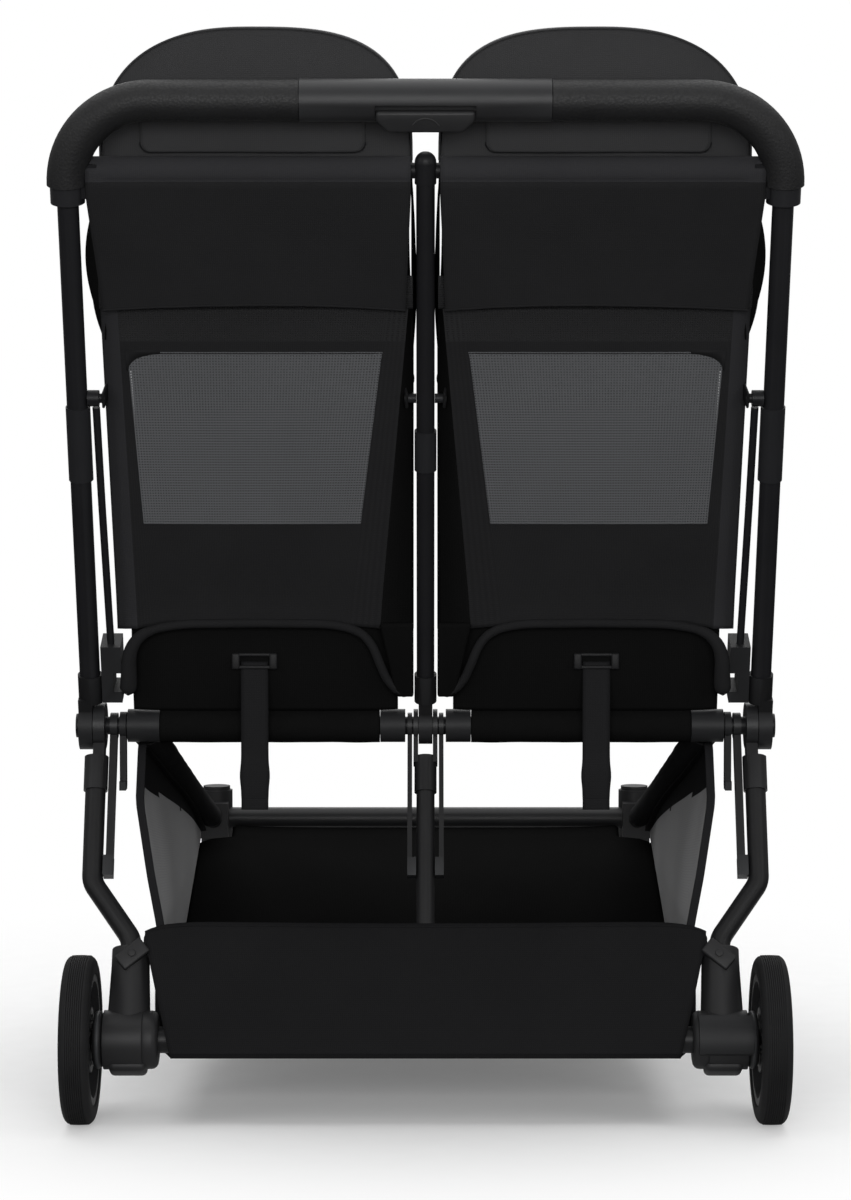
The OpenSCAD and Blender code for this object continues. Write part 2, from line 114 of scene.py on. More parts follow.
def to_object(name, bm, materials):
    """A finished bmesh as an object at the origin, smooth but for its sharp edges."""
    mesh = bpy.data.meshes.new(name)
    bm.to_mesh(mesh)
    bm.free()
    for material in materials:
        mesh.materials.append(material)
    mesh.shade_smooth()
    mesh.set_sharp_from_angle(angle=math.radians(38))
    piece = bpy.data.objects.new(name, mesh)
    scene.collection.objects.link(piece)
    return piece


DIM_SURROUND, FLOOR_GLOW = 0.32, 0.12
FLOOR_MIDDLE, FADE_START, FADE_END = (0, 0.25, 0), 0.6, 1.0
world = bpy.data.worlds.new("studio")
scene.world = world
world.use_nodes = True
tree = world.node_tree
tree.nodes.clear()
path = add(tree, "LightPath")
seen = add(tree, "Math", {0: path.outputs["Is Camera Ray"],
                          1: path.outputs["Is Transmission Ray"]}, operation="MAXIMUM")
bright = add(tree, "MapRange", {"Value": seen.outputs[0], "To Min": DIM_SURROUND, "To Max": 1.0})
surround = add(tree, "Background", {"Color": linear("#ffffff"), "Strength": bright.outputs[0]})
add(tree, "OutputWorld", {"Surface": surround.outputs[0]})

floor_white, tree = empty_material("matt_white_floor_paint")
path = add(tree, "LightPath")
place = add(tree, "TexCoord")
middle = add(tree, "VectorMath", {0: place.outputs["Object"], 1: FLOOR_MIDDLE},
             operation="SUBTRACT")
far = add(tree, "VectorMath", {0: middle.outputs[0]}, operation="LENGTH")
fade = add(tree, "MapRange", {"Value": far.outputs["Value"], "From Min": FADE_START,
                              "From Max": FADE_END})
grain = add(tree, "TexNoise", {"Vector": place.outputs["Object"], "Scale": 30, "Detail": 4})
tone = add(tree, "Mix", {"Factor": grain.outputs["Fac"], 6: linear("#e6e6e6"),
                         7: linear("#ebebeb")}, data_type="RGBA")
matt = add(tree, "BsdfDiffuse", {"Color": tone.outputs[2]})
glow_level = add(tree, "Math", {0: path.outputs["Is Camera Ray"], 1: FLOOR_GLOW},
                 operation="MULTIPLY")
glow = add(tree, "Emission", {"Strength": glow_level.outputs[0]})
near = add(tree, "AddShader", {0: matt.outputs[0], 1: glow.outputs[0]})
white = add(tree, "Emission", {"Strength": path.outputs["Is Camera Ray"]})
mixed = add(tree, "MixShader", {0: fade.outputs[0], 1: near.outputs[0], 2: white.outputs[0]})
add(tree, "OutputMaterial", {"Surface": mixed.outputs[0]})
bm = bmesh.new()
bmesh.ops.create_grid(bm, x_segments=4, y_segments=4, size=7)
floor = to_object("floor", bm, [floor_white])
floor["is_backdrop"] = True

for name, size, power, spot, aim in (
        ("overhead_box", (4.2, 3.4), 76, (0, 0.25, 3.1), (0, 0, 0.5)),
        ("camera_box", (3.0, 1.4), 94, (0, -4.2, 1.15), (0, -0.2, 0.6)),
        ("left_strip", (0.5, 2.0), 7, (-2.1, -1.6, 1.3), (-0.2, -0.3, 0.6)),
        ("right_strip", (0.5, 2.0), 7, (2.1, -1.6, 1.3), (0.2, -0.3, 0.6)),
        ("front_box", (2.4, 1.6), 30, (0, 3.2, 2.2), (0, 0, 0.5))):
    lamp = bpy.data.lights.new(name, "AREA")
    lamp.shape = "RECTANGLE"
    lamp.size, lamp.size_y = size
    lamp.energy = power
    light = bpy.data.objects.new(name, lamp)
    light.location = spot
    light.rotation_euler = (Vector(aim) - Vector(spot)).to_track_quat("-Z", "Y").to_euler()
    scene.collection.objects.link(light)

# Frame tubes: bent aluminium tube with a satin dark grey powder coat, riveted into moulded hubs.
# The coat shows a fine orange peel, faint cloudiness and a soft highlight along each tube.


def moulded(name, base, worn, rough, grain_mm, relief_mm, specular):
    """A coat or a moulding with a grain on Object coordinates, paler where it is rubbed."""
    material, tree = empty_material(name)
    place = add(tree, "TexCoord")
    cloud = add(tree, "TexNoise", {"Vector": place.outputs["Object"], "Scale": 1 / 0.045,
                                   "Detail": 5})
    speck = add(tree, "TexNoise", {"Vector": place.outputs["Object"],
                                   "Scale": 1 / (grain_mm * MM), "Detail": 2})
    edge = add(tree, "NewGeometry")
    rub = add(tree, "MapRange", {"Value": edge.outputs["Pointiness"], "From Min": 0.60,
                                 "From Max": 0.75})
    tone = add(tree, "Mix", {"Factor": cloud.outputs["Fac"], 6: linear(base), 7: linear(worn)},
               data_type="RGBA")
    rubbed = add(tree, "Math", {0: rub.outputs[0], 1: 0.2}, operation="MULTIPLY")
    shade = add(tree, "Mix", {"Factor": rubbed.outputs[0], 6: tone.outputs[2],
                              7: linear("#6b6d70")}, data_type="RGBA")
    gloss = add(tree, "MapRange", {"Value": cloud.outputs["Fac"], "To Min": rough - 0.06,
                                   "To Max": rough + 0.06})
    relief = add(tree, "Bump", {"Height": speck.outputs["Fac"], "Strength": 0.5,
                                "Distance": relief_mm * MM})
    skin = add(tree, "BsdfPrincipled", {"Base Color": shade.outputs[2],
                                        "Roughness": gloss.outputs[0],
                                        "Normal": relief.outputs[0],
                                        "Specular IOR Level": specular})
    add(tree, "OutputMaterial", {"Surface": skin.outputs[0]})
    return material


def coat(material, *nodes):
    """The CAD nodes take a finish."""
    for name in nodes:
        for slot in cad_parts[name].material_slots:
            slot.material = material


powder = moulded("satin_powder_coat_on_aluminium", "#18181a", "#1d1d1f", 0.42, 1.4, 0.10, 0.16)
coat(powder, "main_axle", "seat_frames", "handle_posts", "center_post", "seat_rails",
     "top_bar", "handlebar_core", "post_splices")
# The same powder coat, toned apart for the lower frame: painted light and shade for how light
# falls there.
leg_light_toned_coat = moulded("satin_powder_coat_toned_for_leg_light", "#161617", "#1d1d1e", 0.42, 1.4, 0.10, 0.22)
coat(leg_light_toned_coat, "front_crossbar", "rear_legs", "center_leg", "leg_braces", "rear_crossbar",
     "axle_tube")
black_coat = moulded("matt_black_powder_coat", "#161617", "#1b1b1c", 0.55, 1.4, 0.10, 0.25)
coat(black_coat, "front_legs")

# Moulded hubs, knuckles, sleeves, brackets and latches: glass-filled nylon, spark-eroded grain.
# The hubs pivot on the cross axle with rivets, and the knuckles hold the seat tubes.
nylon = moulded("glass_filled_nylon_moulding", "#151516", "#1a1a1b", 0.5, 1.1, 0.16, 0.16)
coat(nylon, "handle_hubs", "side_brackets", "fold_latches", "seat_knuckles",
     "brake_pedal", "buckles")
foot_nylon = moulded("glass_filled_nylon_foot", "#1d1d1e", "#242425", 0.5, 1.1, 0.16, 0.24)
coat(foot_nylon, "caster_housings", "caster_fork_left", "caster_fork_right")
grey_nylon = moulded("grey_nylon_end_cap", "#212122", "#29292a", 0.45, 1.1, 0.12, 0.24)
coat(grey_nylon, "handlebar_housing", "buckle_button_left", "buckle_button_right")
steel = moulded("zinc_plated_steel_pin", "#8a8c8e", "#a2a4a6", 0.3, 0.9, 0.05, 0.5)
steel.node_tree.nodes["Principled BSDF"].inputs["Metallic"].default_value = 1.0
coat(steel, "brake_pin_left", "brake_pin_right")

# Places on the frame, in millimetres: the handle leans back from the cross axle, the rear legs
# lean back below it, the seats tip up, and each canopy turns about a pivot on the handle.
AXLE = Vector((0, -190, 406))
HANDLE_LEAN, LEG_LEAN, SEAT_TIP = 21, 23.8, 8
SEAT_X = 177
HOOD_PIVOT = Vector((SEAT_X, -326.18, 760.76))


def tipped(x, y, z, degrees):
    return (AXLE + Matrix.Rotation(math.radians(degrees), 3, "X") @ Vector((x, y, z))) * MM


def on_handle(x, y, s):
    return tipped(x, y, s, HANDLE_LEAN)


def on_leg(x, y, t):
    return tipped(x, y, t, -LEG_LEAN)


def on_seat(x, y, z):
    return tipped(x, y, z, SEAT_TIP)


def on_hood(x, r, degrees, out=0):
    a = math.radians(degrees)
    across = Vector((0, math.cos(a), -math.sin(a)))
    return (HOOD_PIVOT + Vector((x, r * math.sin(a), r * math.cos(a))) + across * out) * MM


# Tyres: solid foam rubber pressed over the rims. Fine grooves run round the tread, the
# shoulders are rounded, and the rubber is matt and a little dusty.
rubber, tree = empty_material("foam_rubber_tyre")
place = add(tree, "TexCoord")
dust = add(tree, "TexNoise", {"Vector": place.outputs["Object"], "Scale": 1 / 0.02, "Detail": 6})
pores = add(tree, "TexNoise", {"Vector": place.outputs["Object"], "Scale": 1 / 0.0012})
tone = add(tree, "Mix", {"Factor": dust.outputs["Fac"], 6: linear("#0e0e0f"),
                         7: linear("#1b1b1c")}, data_type="RGBA")
relief = add(tree, "Bump", {"Height": pores.outputs["Fac"], "Strength": 0.4,
                            "Distance": 0.15 * MM})
skin = add(tree, "BsdfPrincipled", {"Base Color": tone.outputs[2], "Roughness": 0.78,
                                    "Normal": relief.outputs[0], "Specular IOR Level": 0.25})
add(tree, "OutputMaterial", {"Surface": skin.outputs[0]})


def spun_ring(profile, centre, steps):
    """A closed profile of (x, radius) points in mm, spun round an axle along X."""
    bm = bmesh.new()
    ring = [bm.verts.new(Vector((x, 0, r)) * MM) for x, r in profile]
    edges = [bm.edges.new((ring[i - 1], ring[i])) for i in range(len(ring))]
    bmesh.ops.spin(bm, geom=ring + edges, cent=(0, 0, 0), axis=(1, 0, 0), dvec=(0, 0, 0),
                   angle=2 * math.pi, steps=steps, use_merge=True, use_duplicate=False)
    bmesh.ops.remove_doubles(bm, verts=bm.verts, dist=0.01 * MM)
    bmesh.ops.recalc_face_normals(bm, faces=bm.faces)
    bmesh.ops.translate(bm, verts=bm.verts, vec=Vector(centre) * MM)
    return bm


def tyre_profile(width, inner, outer, shoulder, grooves):
    half = width / 2
    points = [(half - 1.5, inner), (half, inner + 1.5)]
    for degrees in range(0, 61, 12):
        a = math.radians(degrees)
        points.append((half + shoulder * (math.cos(a) - 1), outer + shoulder * (math.sin(a) - 1)))
    flat = points[-1][0] - 1.2
    pitch = 2 * flat / grooves
    for i in range(grooves):
        x = flat - i * pitch
        crown = outer - 0.9 * (x / half) ** 2
        points += [(x, crown), (x - 0.62 * pitch, crown), (x - 0.7 * pitch, crown - 1.3),
                   (x - 0.92 * pitch, crown - 1.3)]
    points += [(-x, r) for x, r in reversed(points[:8])]
    return points


REAR_X, REAR_Y, REAR_R = 362, -330, 88.5
FRONT_X, FRONT_Y, FRONT_R = 266, 390, 72
for side, sign in SIDES.items():
    for end, centre, width, inner, outer, shoulder, grooves in (
            ("rear", (sign * REAR_X, REAR_Y, REAR_R), 31, 69.1, REAR_R, 9, 9),
            ("front", (sign * FRONT_X, FRONT_Y, FRONT_R), 28, 56.1, FRONT_R, 8, 6)):
        bm = spun_ring(tyre_profile(width, inner, outer, shoulder, grooves), centre, 96)
        tyre = to_object(f"{end}_tyre_rubber_{side}", bm, [rubber])
        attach(tyre, f"{end}_wheel_{side}")
        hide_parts(f"{end}_tyre_{side}")

# Rims: dark grey nylon, moulded in one with the spokes, inside the tyres.
# A thin nylon cap snaps over each outer hub of the rear ones.
coat(grey_nylon, "front_rim_left", "front_rim_right", "rear_rim_left", "rear_rim_right")
for side, sign in SIDES.items():
    bm = bmesh.new()
    bmesh.ops.create_cone(bm, cap_ends=True, segments=48, radius1=24 * MM, radius2=21 * MM,
                          depth=2.4 * MM)
    cap_edges = [e for e in bm.edges if e.calc_face_angle(0) > 0.6]
    bmesh.ops.bevel(bm, geom=cap_edges, offset=0.9 * MM, offset_type="OFFSET", segments=3,
                    profile=0.5, affect="EDGES", material=-1)
    turn = Matrix.Rotation(math.radians(90 * sign), 4, "Y")
    bmesh.ops.transform(bm, matrix=Matrix.Translation(
        Vector((sign * (REAR_X + 16.8), REAR_Y, REAR_R)) * MM) @ turn, verts=bm.verts)
    cap = to_object(f"rear_hub_cap_{side}", bm, [nylon])
    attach(cap, f"rear_wheel_{side}")

# Leg shoes: nylon mouldings at the feet of the rear legs, a tapered column over a rounded axle
# housing with the stub axle for the wheel. A seam and a groove show where the halves meet.
LEG_FOOT = math.hypot(140, 317.5)
SHOE_X = 312


def rounded(bm, offset, angle=0.5, segments=4):
    """Bevels the sharp edges of a mesh."""
    sharp = [e for e in bm.edges if e.calc_face_angle(0) > angle]
    bmesh.ops.bevel(bm, geom=sharp, offset=offset * MM, offset_type="OFFSET",
                    segments=segments, profile=0.5, affect="EDGES", material=-1,
                    clamp_overlap=True)


def joined(*meshes):
    """Several bmeshes as one."""
    whole = bmesh.new()
    for bm in meshes:
        part = bpy.data.meshes.new("part")
        bm.to_mesh(part)
        bm.free()
        whole.from_mesh(part)
        bpy.data.meshes.remove(part)
    return whole


def block(size, at, offset, segments=4):
    """A bevelled block of a size, centred on a place, in mm."""
    bm = bmesh.new()
    bmesh.ops.create_cube(bm, size=1)
    bmesh.ops.scale(bm, vec=Vector(size) * MM, verts=bm.verts)
    rounded(bm, offset, segments=segments)
    bmesh.ops.translate(bm, verts=bm.verts, vec=Vector(at) * MM)
    return bm


def rod(r0, r1, x0, x1, offset, axis="X", at=(0, 0, 0), segments=48):
    """A bevelled rod or cone along an axis from x0 to x1, in mm."""
    bm = bmesh.new()
    bmesh.ops.create_cone(bm, cap_ends=True, segments=segments, radius1=r0 * MM,
                          radius2=r1 * MM, depth=(x1 - x0) * MM)
    if offset:
        rounded(bm, offset)
    bmesh.ops.translate(bm, verts=bm.verts, vec=(0, 0, (x0 + x1) / 2 * MM))
    if axis != "Z":
        quarter, about = (90, "Y") if axis == "X" else (-90, "X")
        bmesh.ops.rotate(bm, cent=(0, 0, 0), verts=bm.verts,
                         matrix=Matrix.Rotation(math.radians(quarter), 3, about))
    bmesh.ops.translate(bm, verts=bm.verts, vec=Vector(at) * MM)
    return bm


def tilted(bm, degrees, at):
    """Turns a mesh in the plane across the stroller, and moves it to a place."""
    bmesh.ops.rotate(bm, cent=(0, 0, 0), matrix=Matrix.Rotation(math.radians(degrees), 3, "Y"),
                     verts=bm.verts)
    bmesh.ops.translate(bm, verts=bm.verts, vec=Vector(at) * MM)
    return bm


def lean(bm, degrees, sign):
    """Turns a mesh about the cross axle, and mirrors it for the left side."""
    turn = Matrix.Translation(AXLE * MM) @ Matrix.Rotation(math.radians(degrees), 4, "X")
    bmesh.ops.transform(bm, matrix=turn, verts=bm.verts)
    if sign < 0:
        bmesh.ops.scale(bm, vec=(-1, 1, 1), verts=bm.verts)
        bmesh.ops.reverse_faces(bm, faces=bm.faces)
    return bm


for side, sign in SIDES.items():
    bm = joined(
        rod(23.5, 19.5, -LEG_FOOT, -252, 0, "Z", (SHOE_X, 0, 0)),
        rod(20.2, 20.0, -276, -249, 2, "Z", (SHOE_X, 0, 0)),
        rod(30.5, 30.5, 280, 300, 7, at=(0, 0, -LEG_FOOT)),
        rod(31, 31, 296, 337.4, 0.6, at=(0, 0, -LEG_FOOT)),
        rod(30.4, 30.4, 338.2, 348, 5, at=(0, 0, -LEG_FOOT)),
        block((40, 33, 16), (SHOE_X, 4.5, -LEG_FOOT - 27), 6),
        rod(6, 6, 338, 377.5, 0.8, at=(0, 0, -LEG_FOOT)),
        block((17, 25, 26), (290, 0, -247.5), 5),
        tilted(block((34, 8, 19), (0, 0, 0), 2.4), 40, (309, -20.5, -260)),
        rod(4.2, 3.4, 18, 21.5, 0.8, "Y", (309, -46, -260)))
    shoe = to_object(f"leg_shoe_moulding_{side}", lean(bm, -LEG_LEAN, sign), [foot_nylon])
    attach(shoe, "rear_frame")
    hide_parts(f"leg_shoe_{side}")

# Handlebar grips: foam tube under black leatherette, sewn along the underside.
# The grain is a close pebble, drawn a little coarse so that it shows.
leatherette, tree = empty_material("pebbled_leatherette")
place = add(tree, "TexCoord")
pebble = add(tree, "TexVoronoi", {"Vector": place.outputs["Object"], "Scale": 1 / 0.0028})
dust = add(tree, "TexNoise", {"Vector": place.outputs["Object"], "Scale": 1 / 0.03, "Detail": 5})
tone = add(tree, "Mix", {"Factor": dust.outputs["Fac"], 6: linear("#131314"),
                         7: linear("#1c1c1d")}, data_type="RGBA")
gloss = add(tree, "MapRange", {"Value": pebble.outputs["Distance"], "To Min": 0.5,
                               "To Max": 0.72})
relief = add(tree, "Bump", {"Height": pebble.outputs["Distance"], "Strength": 0.6,
                            "Distance": 0.35 * MM}, invert=True)
skin = add(tree, "BsdfPrincipled", {"Base Color": tone.outputs[2],
                                    "Roughness": gloss.outputs[0],
                                    "Normal": relief.outputs[0], "Specular IOR Level": 0.35})
add(tree, "OutputMaterial", {"Surface": skin.outputs[0]})
coat(leatherette, "grips")

# Fold trigger: a nylon paddle under the middle of the handlebar, pulled up with the fingers.
# Its corners are rounded, and a small raised arch marks where to pull.
bm = bmesh.new()
outline = [(-37.5, 671), (37.5, 671), (49.5, 682.5), (49.5, 692.6), (-49.5, 692.6),
           (-49.5, 682.5)]
base = bm.faces.new([bm.verts.new(Vector((x, -12.6, s)) * MM) for x, s in outline])
out = bmesh.ops.extrude_face_region(bm, geom=[base])
bmesh.ops.translate(bm, vec=(0, -11.2 * MM, 0),
                    verts=[v for v in out["geom"] if isinstance(v, bmesh.types.BMVert)])
bmesh.ops.recalc_face_normals(bm, faces=bm.faces)
rounded(bm, 3.2)
stem = block((75, 20, 12.5), (0, -3, 674.6), 1.5)
arch = bmesh.new()
start = [arch.verts.new(Vector((13 + 1.3 * math.cos(a), -24 + 0.7 * math.sin(a), 678.5)) * MM)
         for a in [math.radians(45 * i) for i in range(8)]]
arch_edges = [arch.edges.new((start[i - 1], start[i])) for i in range(8)]
bmesh.ops.spin(arch, geom=start + arch_edges, cent=Vector((0, -24, 670.5)) * MM, axis=(0, -1, 0),
               dvec=(0, 0, 0), angle=math.radians(116), steps=20)
bmesh.ops.holes_fill(arch, edges=arch.edges)
bmesh.ops.recalc_face_normals(arch, faces=arch.faces)
trigger = to_object("fold_trigger_paddle", lean(joined(bm, stem, arch), HANDLE_LEAN, 1),
                    [grey_nylon])
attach(trigger, "fold_trigger")
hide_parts("fold_trigger")

# Canopies: woven polyester over two bows. The rear part is fixed to the handle frame and closed
# behind by a panel sewn into it with piping, and the hood turns forward from inside it.


def threads(tree, pitch_mm, uneven):
    """Warp and weft crossed on a piece's own UV map in metres. A wave repeats each 0.314159."""
    place = add(tree, "UVMap", uv_map="cut")
    waves = [add(tree, "TexWave", {"Vector": place.outputs[0], "Scale": 0.314159 / (pitch_mm * MM),
                                   **uneven}, bands_direction=way).outputs["Fac"] for way in "XY"]
    return add(tree, "Math", {0: waves[0], 1: waves[1]}, operation="MULTIPLY")


def woven(name, base, lifted, thread_mm, rough, specular=0.12, sheen=0.0):
    """Plain weave, a little uneven, drawn coarse enough to show."""
    material, tree = empty_material(name)
    cross = threads(tree, thread_mm, {"Distortion": 0.4, "Detail Scale": 0.3})
    solid = add(tree, "TexCoord")
    cloud = add(tree, "TexNoise", {"Vector": solid.outputs["Object"], "Scale": 1 / 0.09,
                                   "Detail": 6, "Roughness": 0.6})
    mix = add(tree, "Math", {0: cross.outputs[0], 1: 0.45, 2: 0.05}, operation="MULTIPLY_ADD")
    mix = add(tree, "Math", {0: cloud.outputs["Fac"], 1: 0.55, 2: mix.outputs[0]},
              operation="MULTIPLY_ADD")
    tone = add(tree, "Mix", {"Factor": mix.outputs[0], 6: linear(base), 7: linear(lifted)},
               data_type="RGBA")
    relief = add(tree, "Bump", {"Height": cross.outputs[0], "Strength": 0.5,
                                "Distance": 0.25 * MM})
    skin = add(tree, "BsdfPrincipled", {"Base Color": tone.outputs[2], "Roughness": rough,
                                        "Normal": relief.outputs[0], "Sheen Weight": sheen,
                                        "Specular IOR Level": specular})
    add(tree, "OutputMaterial", {"Surface": skin.outputs[0]})
    return material


def cloth(name, columns, rows, size, place, materials, thickness=1.2, paint=None):
    """A sheet of cloth: a grid whose (u, v) from 0 to 1 are put in place, with UVs in metres."""
    bm = bmesh.new()
    uv = bm.loops.layers.uv.new("cut")
    bmesh.ops.create_grid(bm, x_segments=columns, y_segments=rows, size=0.5, calc_uvs=False)
    for face in bm.faces:
        middle = face.calc_center_median()
        if paint:
            face.material_index = paint(middle.x + 0.5, middle.y + 0.5)
        for loop in face.loops:
            loop[uv].uv = ((loop.vert.co.x + 0.5) * size[0] * MM,
                           (loop.vert.co.y + 0.5) * size[1] * MM)
    for vert in bm.verts:
        vert.co = place(vert.co.x + 0.5, vert.co.y + 0.5)
    piece = to_object(name, bm, materials)
    if thickness:
        wall = piece.modifiers.new("thickness", "SOLIDIFY")
        wall.thickness = thickness * MM
        wall.offset = 0
    return piece


def twins(name, piece):
    """The right piece under its side's name, and its mirror image for the left."""
    piece.name = piece.data.name = f"{name}_right"
    other = piece.copy()
    other.data = piece.data.copy()
    other.name = other.data.name = f"{name}_left"
    bm = bmesh.new()
    bm.from_mesh(other.data)
    bmesh.ops.scale(bm, vec=(-1, 1, 1), verts=bm.verts)
    bmesh.ops.reverse_faces(bm, faces=bm.faces)
    bm.to_mesh(other.data)
    bm.free()
    scene.collection.objects.link(other)
    return {"left": other, "right": piece}


def clamp(value):
    """The value, kept from 0 to 1."""
    return max(0, min(1, value))


def steps_along(points):
    return [(Vector(b) - Vector(a)).length for a, b in zip(points, points[1:])]


def between(points, t):
    """The point at share t of the way along a list of points, straight from one to the next."""
    steps = steps_along(points)
    left = t * sum(steps)
    for a, b, step in zip(points, points[1:], steps):
        if left <= step:
            return Vector(a).lerp(Vector(b), left / step if step else 0)
        left -= step
    return Vector(points[-1])


canopy_cloth = woven("canopy_polyester_weave", "#2c2c2d", "#3b3b3c", 2.0, 0.85, 0.2, 0.03)
binding_cloth = woven("grosgrain_binding", "#161617", "#202022", 1.8, 0.85)
# A darker copy of the seat cloth: it paints shade wherever it is used.
shade_painted_cloth = woven("shaded_seat_polyester", "#101010", "#161616", 2.0, 0.9, 0.0)
HOOD_A, HOOD_R, HOOD_SIDE, HOOD_BASE = 163, 381, 248, 246
SHOULDER, HOOD_LOW, SIDE_SHADE_TOP = 9, 62, 236
REAR_ANGLE = -13


def arch_points(half, top, side, count=64):
    """Half width and radius round a canopy bow, from the right pivot over to the left.
    The outer shoulder is narrower and rounder than the one by the centre post."""
    points = [(half - SHOULDER, HOOD_LOW), (half - SHOULDER, 150)]
    for i in range(count + 1):
        a = math.pi * i / count
        c, s = math.cos(a), math.sin(a)
        power = 0.8 if c > 0 else 0.667
        width = half - SHOULDER if c > 0 else half
        points.append((math.copysign(abs(c) ** power, c) * width,
                       side + (top - side) * abs(s) ** power))
    return points + [(-half, 150), (-half, HOOD_LOW)]


def canopy_shell(name, half, top, side, start, end, sag, bulge):
    """Cloth from bow to bow. Its sides bulge past the pivots, and their lower parts take the
    darker cloth as painted shade.
    """
    bow = arch_points(half, top, side)

    def place(u, v):
        x, r = between(bow, u)
        pull = sag * math.sin(math.pi * v) ** 1.2 * clamp((r - 120) / 150)
        ripple = 1.0 * math.sin(9 * u + 5 * v) * math.sin(math.pi * v)
        narrow = 1 - 0.6 * pull / half
        swing = (-5 + (bulge + 5) * min(1, 3 * v)) if x > 0 else -3.5 * min(1, 3 * v)
        spread = swing * math.sin(math.pi * min(1, (r - HOOD_LOW) / 178))
        return on_hood(x * narrow + spread, r - pull + ripple, start + (end - start) * v)

    def paint(u, v):
        # The sides low down take the darker cloth: painted shade.
        return 1 if between(bow, u).y < SIDE_SHADE_TOP else 0

    size = (sum(steps_along(bow)), math.radians(end - start) * top)
    return cloth(name, 120, 24, size, place, [canopy_cloth, shade_painted_cloth], 1.4, paint), place


def applied(piece):
    """The mesh of an object as it is drawn, with its modifiers applied."""
    depsgraph = bpy.context.evaluated_depsgraph_get()
    return bpy.data.meshes.new_from_object(piece.evaluated_get(depsgraph))


def edge_cord(name, points, radius, material, girth=None):
    """A round cord or binding along points in metres, as thick all along or by its girth."""
    curve = bpy.data.curves.new(name, "CURVE")
    curve.dimensions = "3D"
    curve.bevel_depth = radius * MM
    curve.bevel_resolution = 2
    curve.use_fill_caps = True
    line = curve.splines.new("POLY")
    line.points.add(len(points) - 1)
    for i, (knot, p) in enumerate(zip(line.points, points)):
        knot.co = (*p, 1)
        knot.radius = girth(i / (len(points) - 1)) if girth else 1
    wire = bpy.data.objects.new(name, curve)
    scene.collection.objects.link(wire)
    bpy.context.view_layer.update()
    mesh = applied(wire)
    bpy.data.objects.remove(wire)
    mesh.name = name
    mesh.materials.clear()
    mesh.materials.append(material)
    if not mesh.uv_layers:
        mesh.uv_layers.new(name="cut")
    mesh.uv_layers[0].name = "cut"
    for loop in mesh.uv_layers["cut"].data:
        loop.uv = (loop.uv[0] * 0.012, loop.uv[1] * 0.4)
    mesh.shade_smooth()
    cord = bpy.data.objects.new(name, mesh)
    scene.collection.objects.link(cord)
    return cord


def flatten(piece, y=2):
    """Gives a piece its own copy of its mesh."""
    across = on_handle(0, 1, 0) - on_handle(0, 0, 0)
    on_handle(SEAT_X, y, 400)
    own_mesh(piece)


shell, rear_cloth = canopy_shell("shell", HOOD_A, HOOD_R, HOOD_SIDE, REAR_ANGLE, 36, 3, 22)
rear_shell = twins("canopy_rear_shell", shell)
shell, hood_cloth = canopy_shell("shell", HOOD_A - 4, HOOD_R - 7, HOOD_SIDE - 5, 31, 82, 6, 16)
hood_shell = twins("canopy_hood_shell", shell)


def panel_place(u, v):
    """The rear panel of a canopy, bounded by the bow and the top bar, puffed out a little."""
    x = 2 * u - 1
    power = 2.5 if x > 0 else 3
    width = HOOD_A - 1 - SHOULDER if x > 0 else HOOD_A - 1
    top = HOOD_SIDE + (HOOD_R - 1 - HOOD_SIDE) * (1 - abs(x) ** power) ** (1 / power)
    r = HOOD_BASE + (top - HOOD_BASE) * v
    puff = 5 * (1 - x * x) * math.sin(math.pi * min(1, v * 1.02))
    return on_hood(x * width, r, REAR_ANGLE, 1.5 - puff)


rear_panel = twins("canopy_rear_panel", cloth("panel", 72, 24, (326, 137), panel_place,
                                              [canopy_cloth], 1.4))
bow = [p for p in arch_points(HOOD_A, HOOD_R, HOOD_SIDE) if p[1] > 245]
rear_piping = twins("canopy_rear_piping", edge_cord(
    "piping", [on_hood(x, r, REAR_ANGLE, 0.5) for x, r in bow], 1.1, canopy_cloth))
brim = twins("canopy_hood_brim", edge_cord(
    "brim", [hood_cloth(i / 120, 1) for i in range(121)], 2.6, binding_cloth))
rear_hem = twins("canopy_rear_hem", edge_cord(
    "hem", [rear_cloth(i / 120, 1) for i in range(121)], 1.4, binding_cloth))

# Window flap: a rounded piece of the canopy's cloth, sewn along its top edge over the window.
# Its hem is turned under and top-stitched, and its lower edge stands off a little.


def flap_place(u, v):
    rise, corner = 72 * (1 - v), 10
    inset = corner - math.sqrt(corner ** 2 - (corner - rise) ** 2) if rise < corner else 0
    lift = 1.8 + 2.2 * v ** 2 + 0.8 * math.sin(7 * u) * v
    x_mm = (2 * u - 1) * (114 - inset) - 1.5
    r = 257 + rise
    puff = 5 * (1 - (2 * x_mm / 326) ** 2) * math.sin(math.pi * (r - HOOD_BASE) / 137)
    return on_hood(x_mm, r, REAR_ANGLE, 1.5 - puff - lift)


window_flap = twins("window_flap_cloth", cloth("flap", 48, 36, (228, 72), flap_place,
                                               [canopy_cloth], 2.0))
flap_edge = [(0, 0.86 + 0.14 * i / 12) for i in range(13)]
flap_edge += [(i / 30, 1) for i in range(1, 31)] + [(1, v) for u, v in reversed(flap_edge)]
flap_binding = twins("window_flap_binding", edge_cord(
    "binding", [flap_place(u, v) for u, v in flap_edge], 1.1, binding_cloth))

# Hood arms: flat nylon arms from the pivots up the sides of each hood, inside its side panels.
# They are bevelled strips that lean inward towards their tops and turn with the hood.
arms = []
for x in (-157.5, 157.5):
    arm = block((3, 18, 70), (0, 0, 29), 1.2, 2)
    for vert in arm.verts:
        vert.co.x -= math.copysign(8, x) * max(0, vert.co.z / MM - 12) / 50 * MM
    turn = Matrix.Rotation(math.radians(-58), 4, "X")
    place = Matrix.Translation((HOOD_PIVOT + Vector((x, 0, 0))) * MM)
    bmesh.ops.transform(arm, matrix=place @ turn, verts=arm.verts)
    arms.append(arm)
hood_arms = twins("canopy_hood_arms", to_object("arms", joined(*arms), [nylon]))

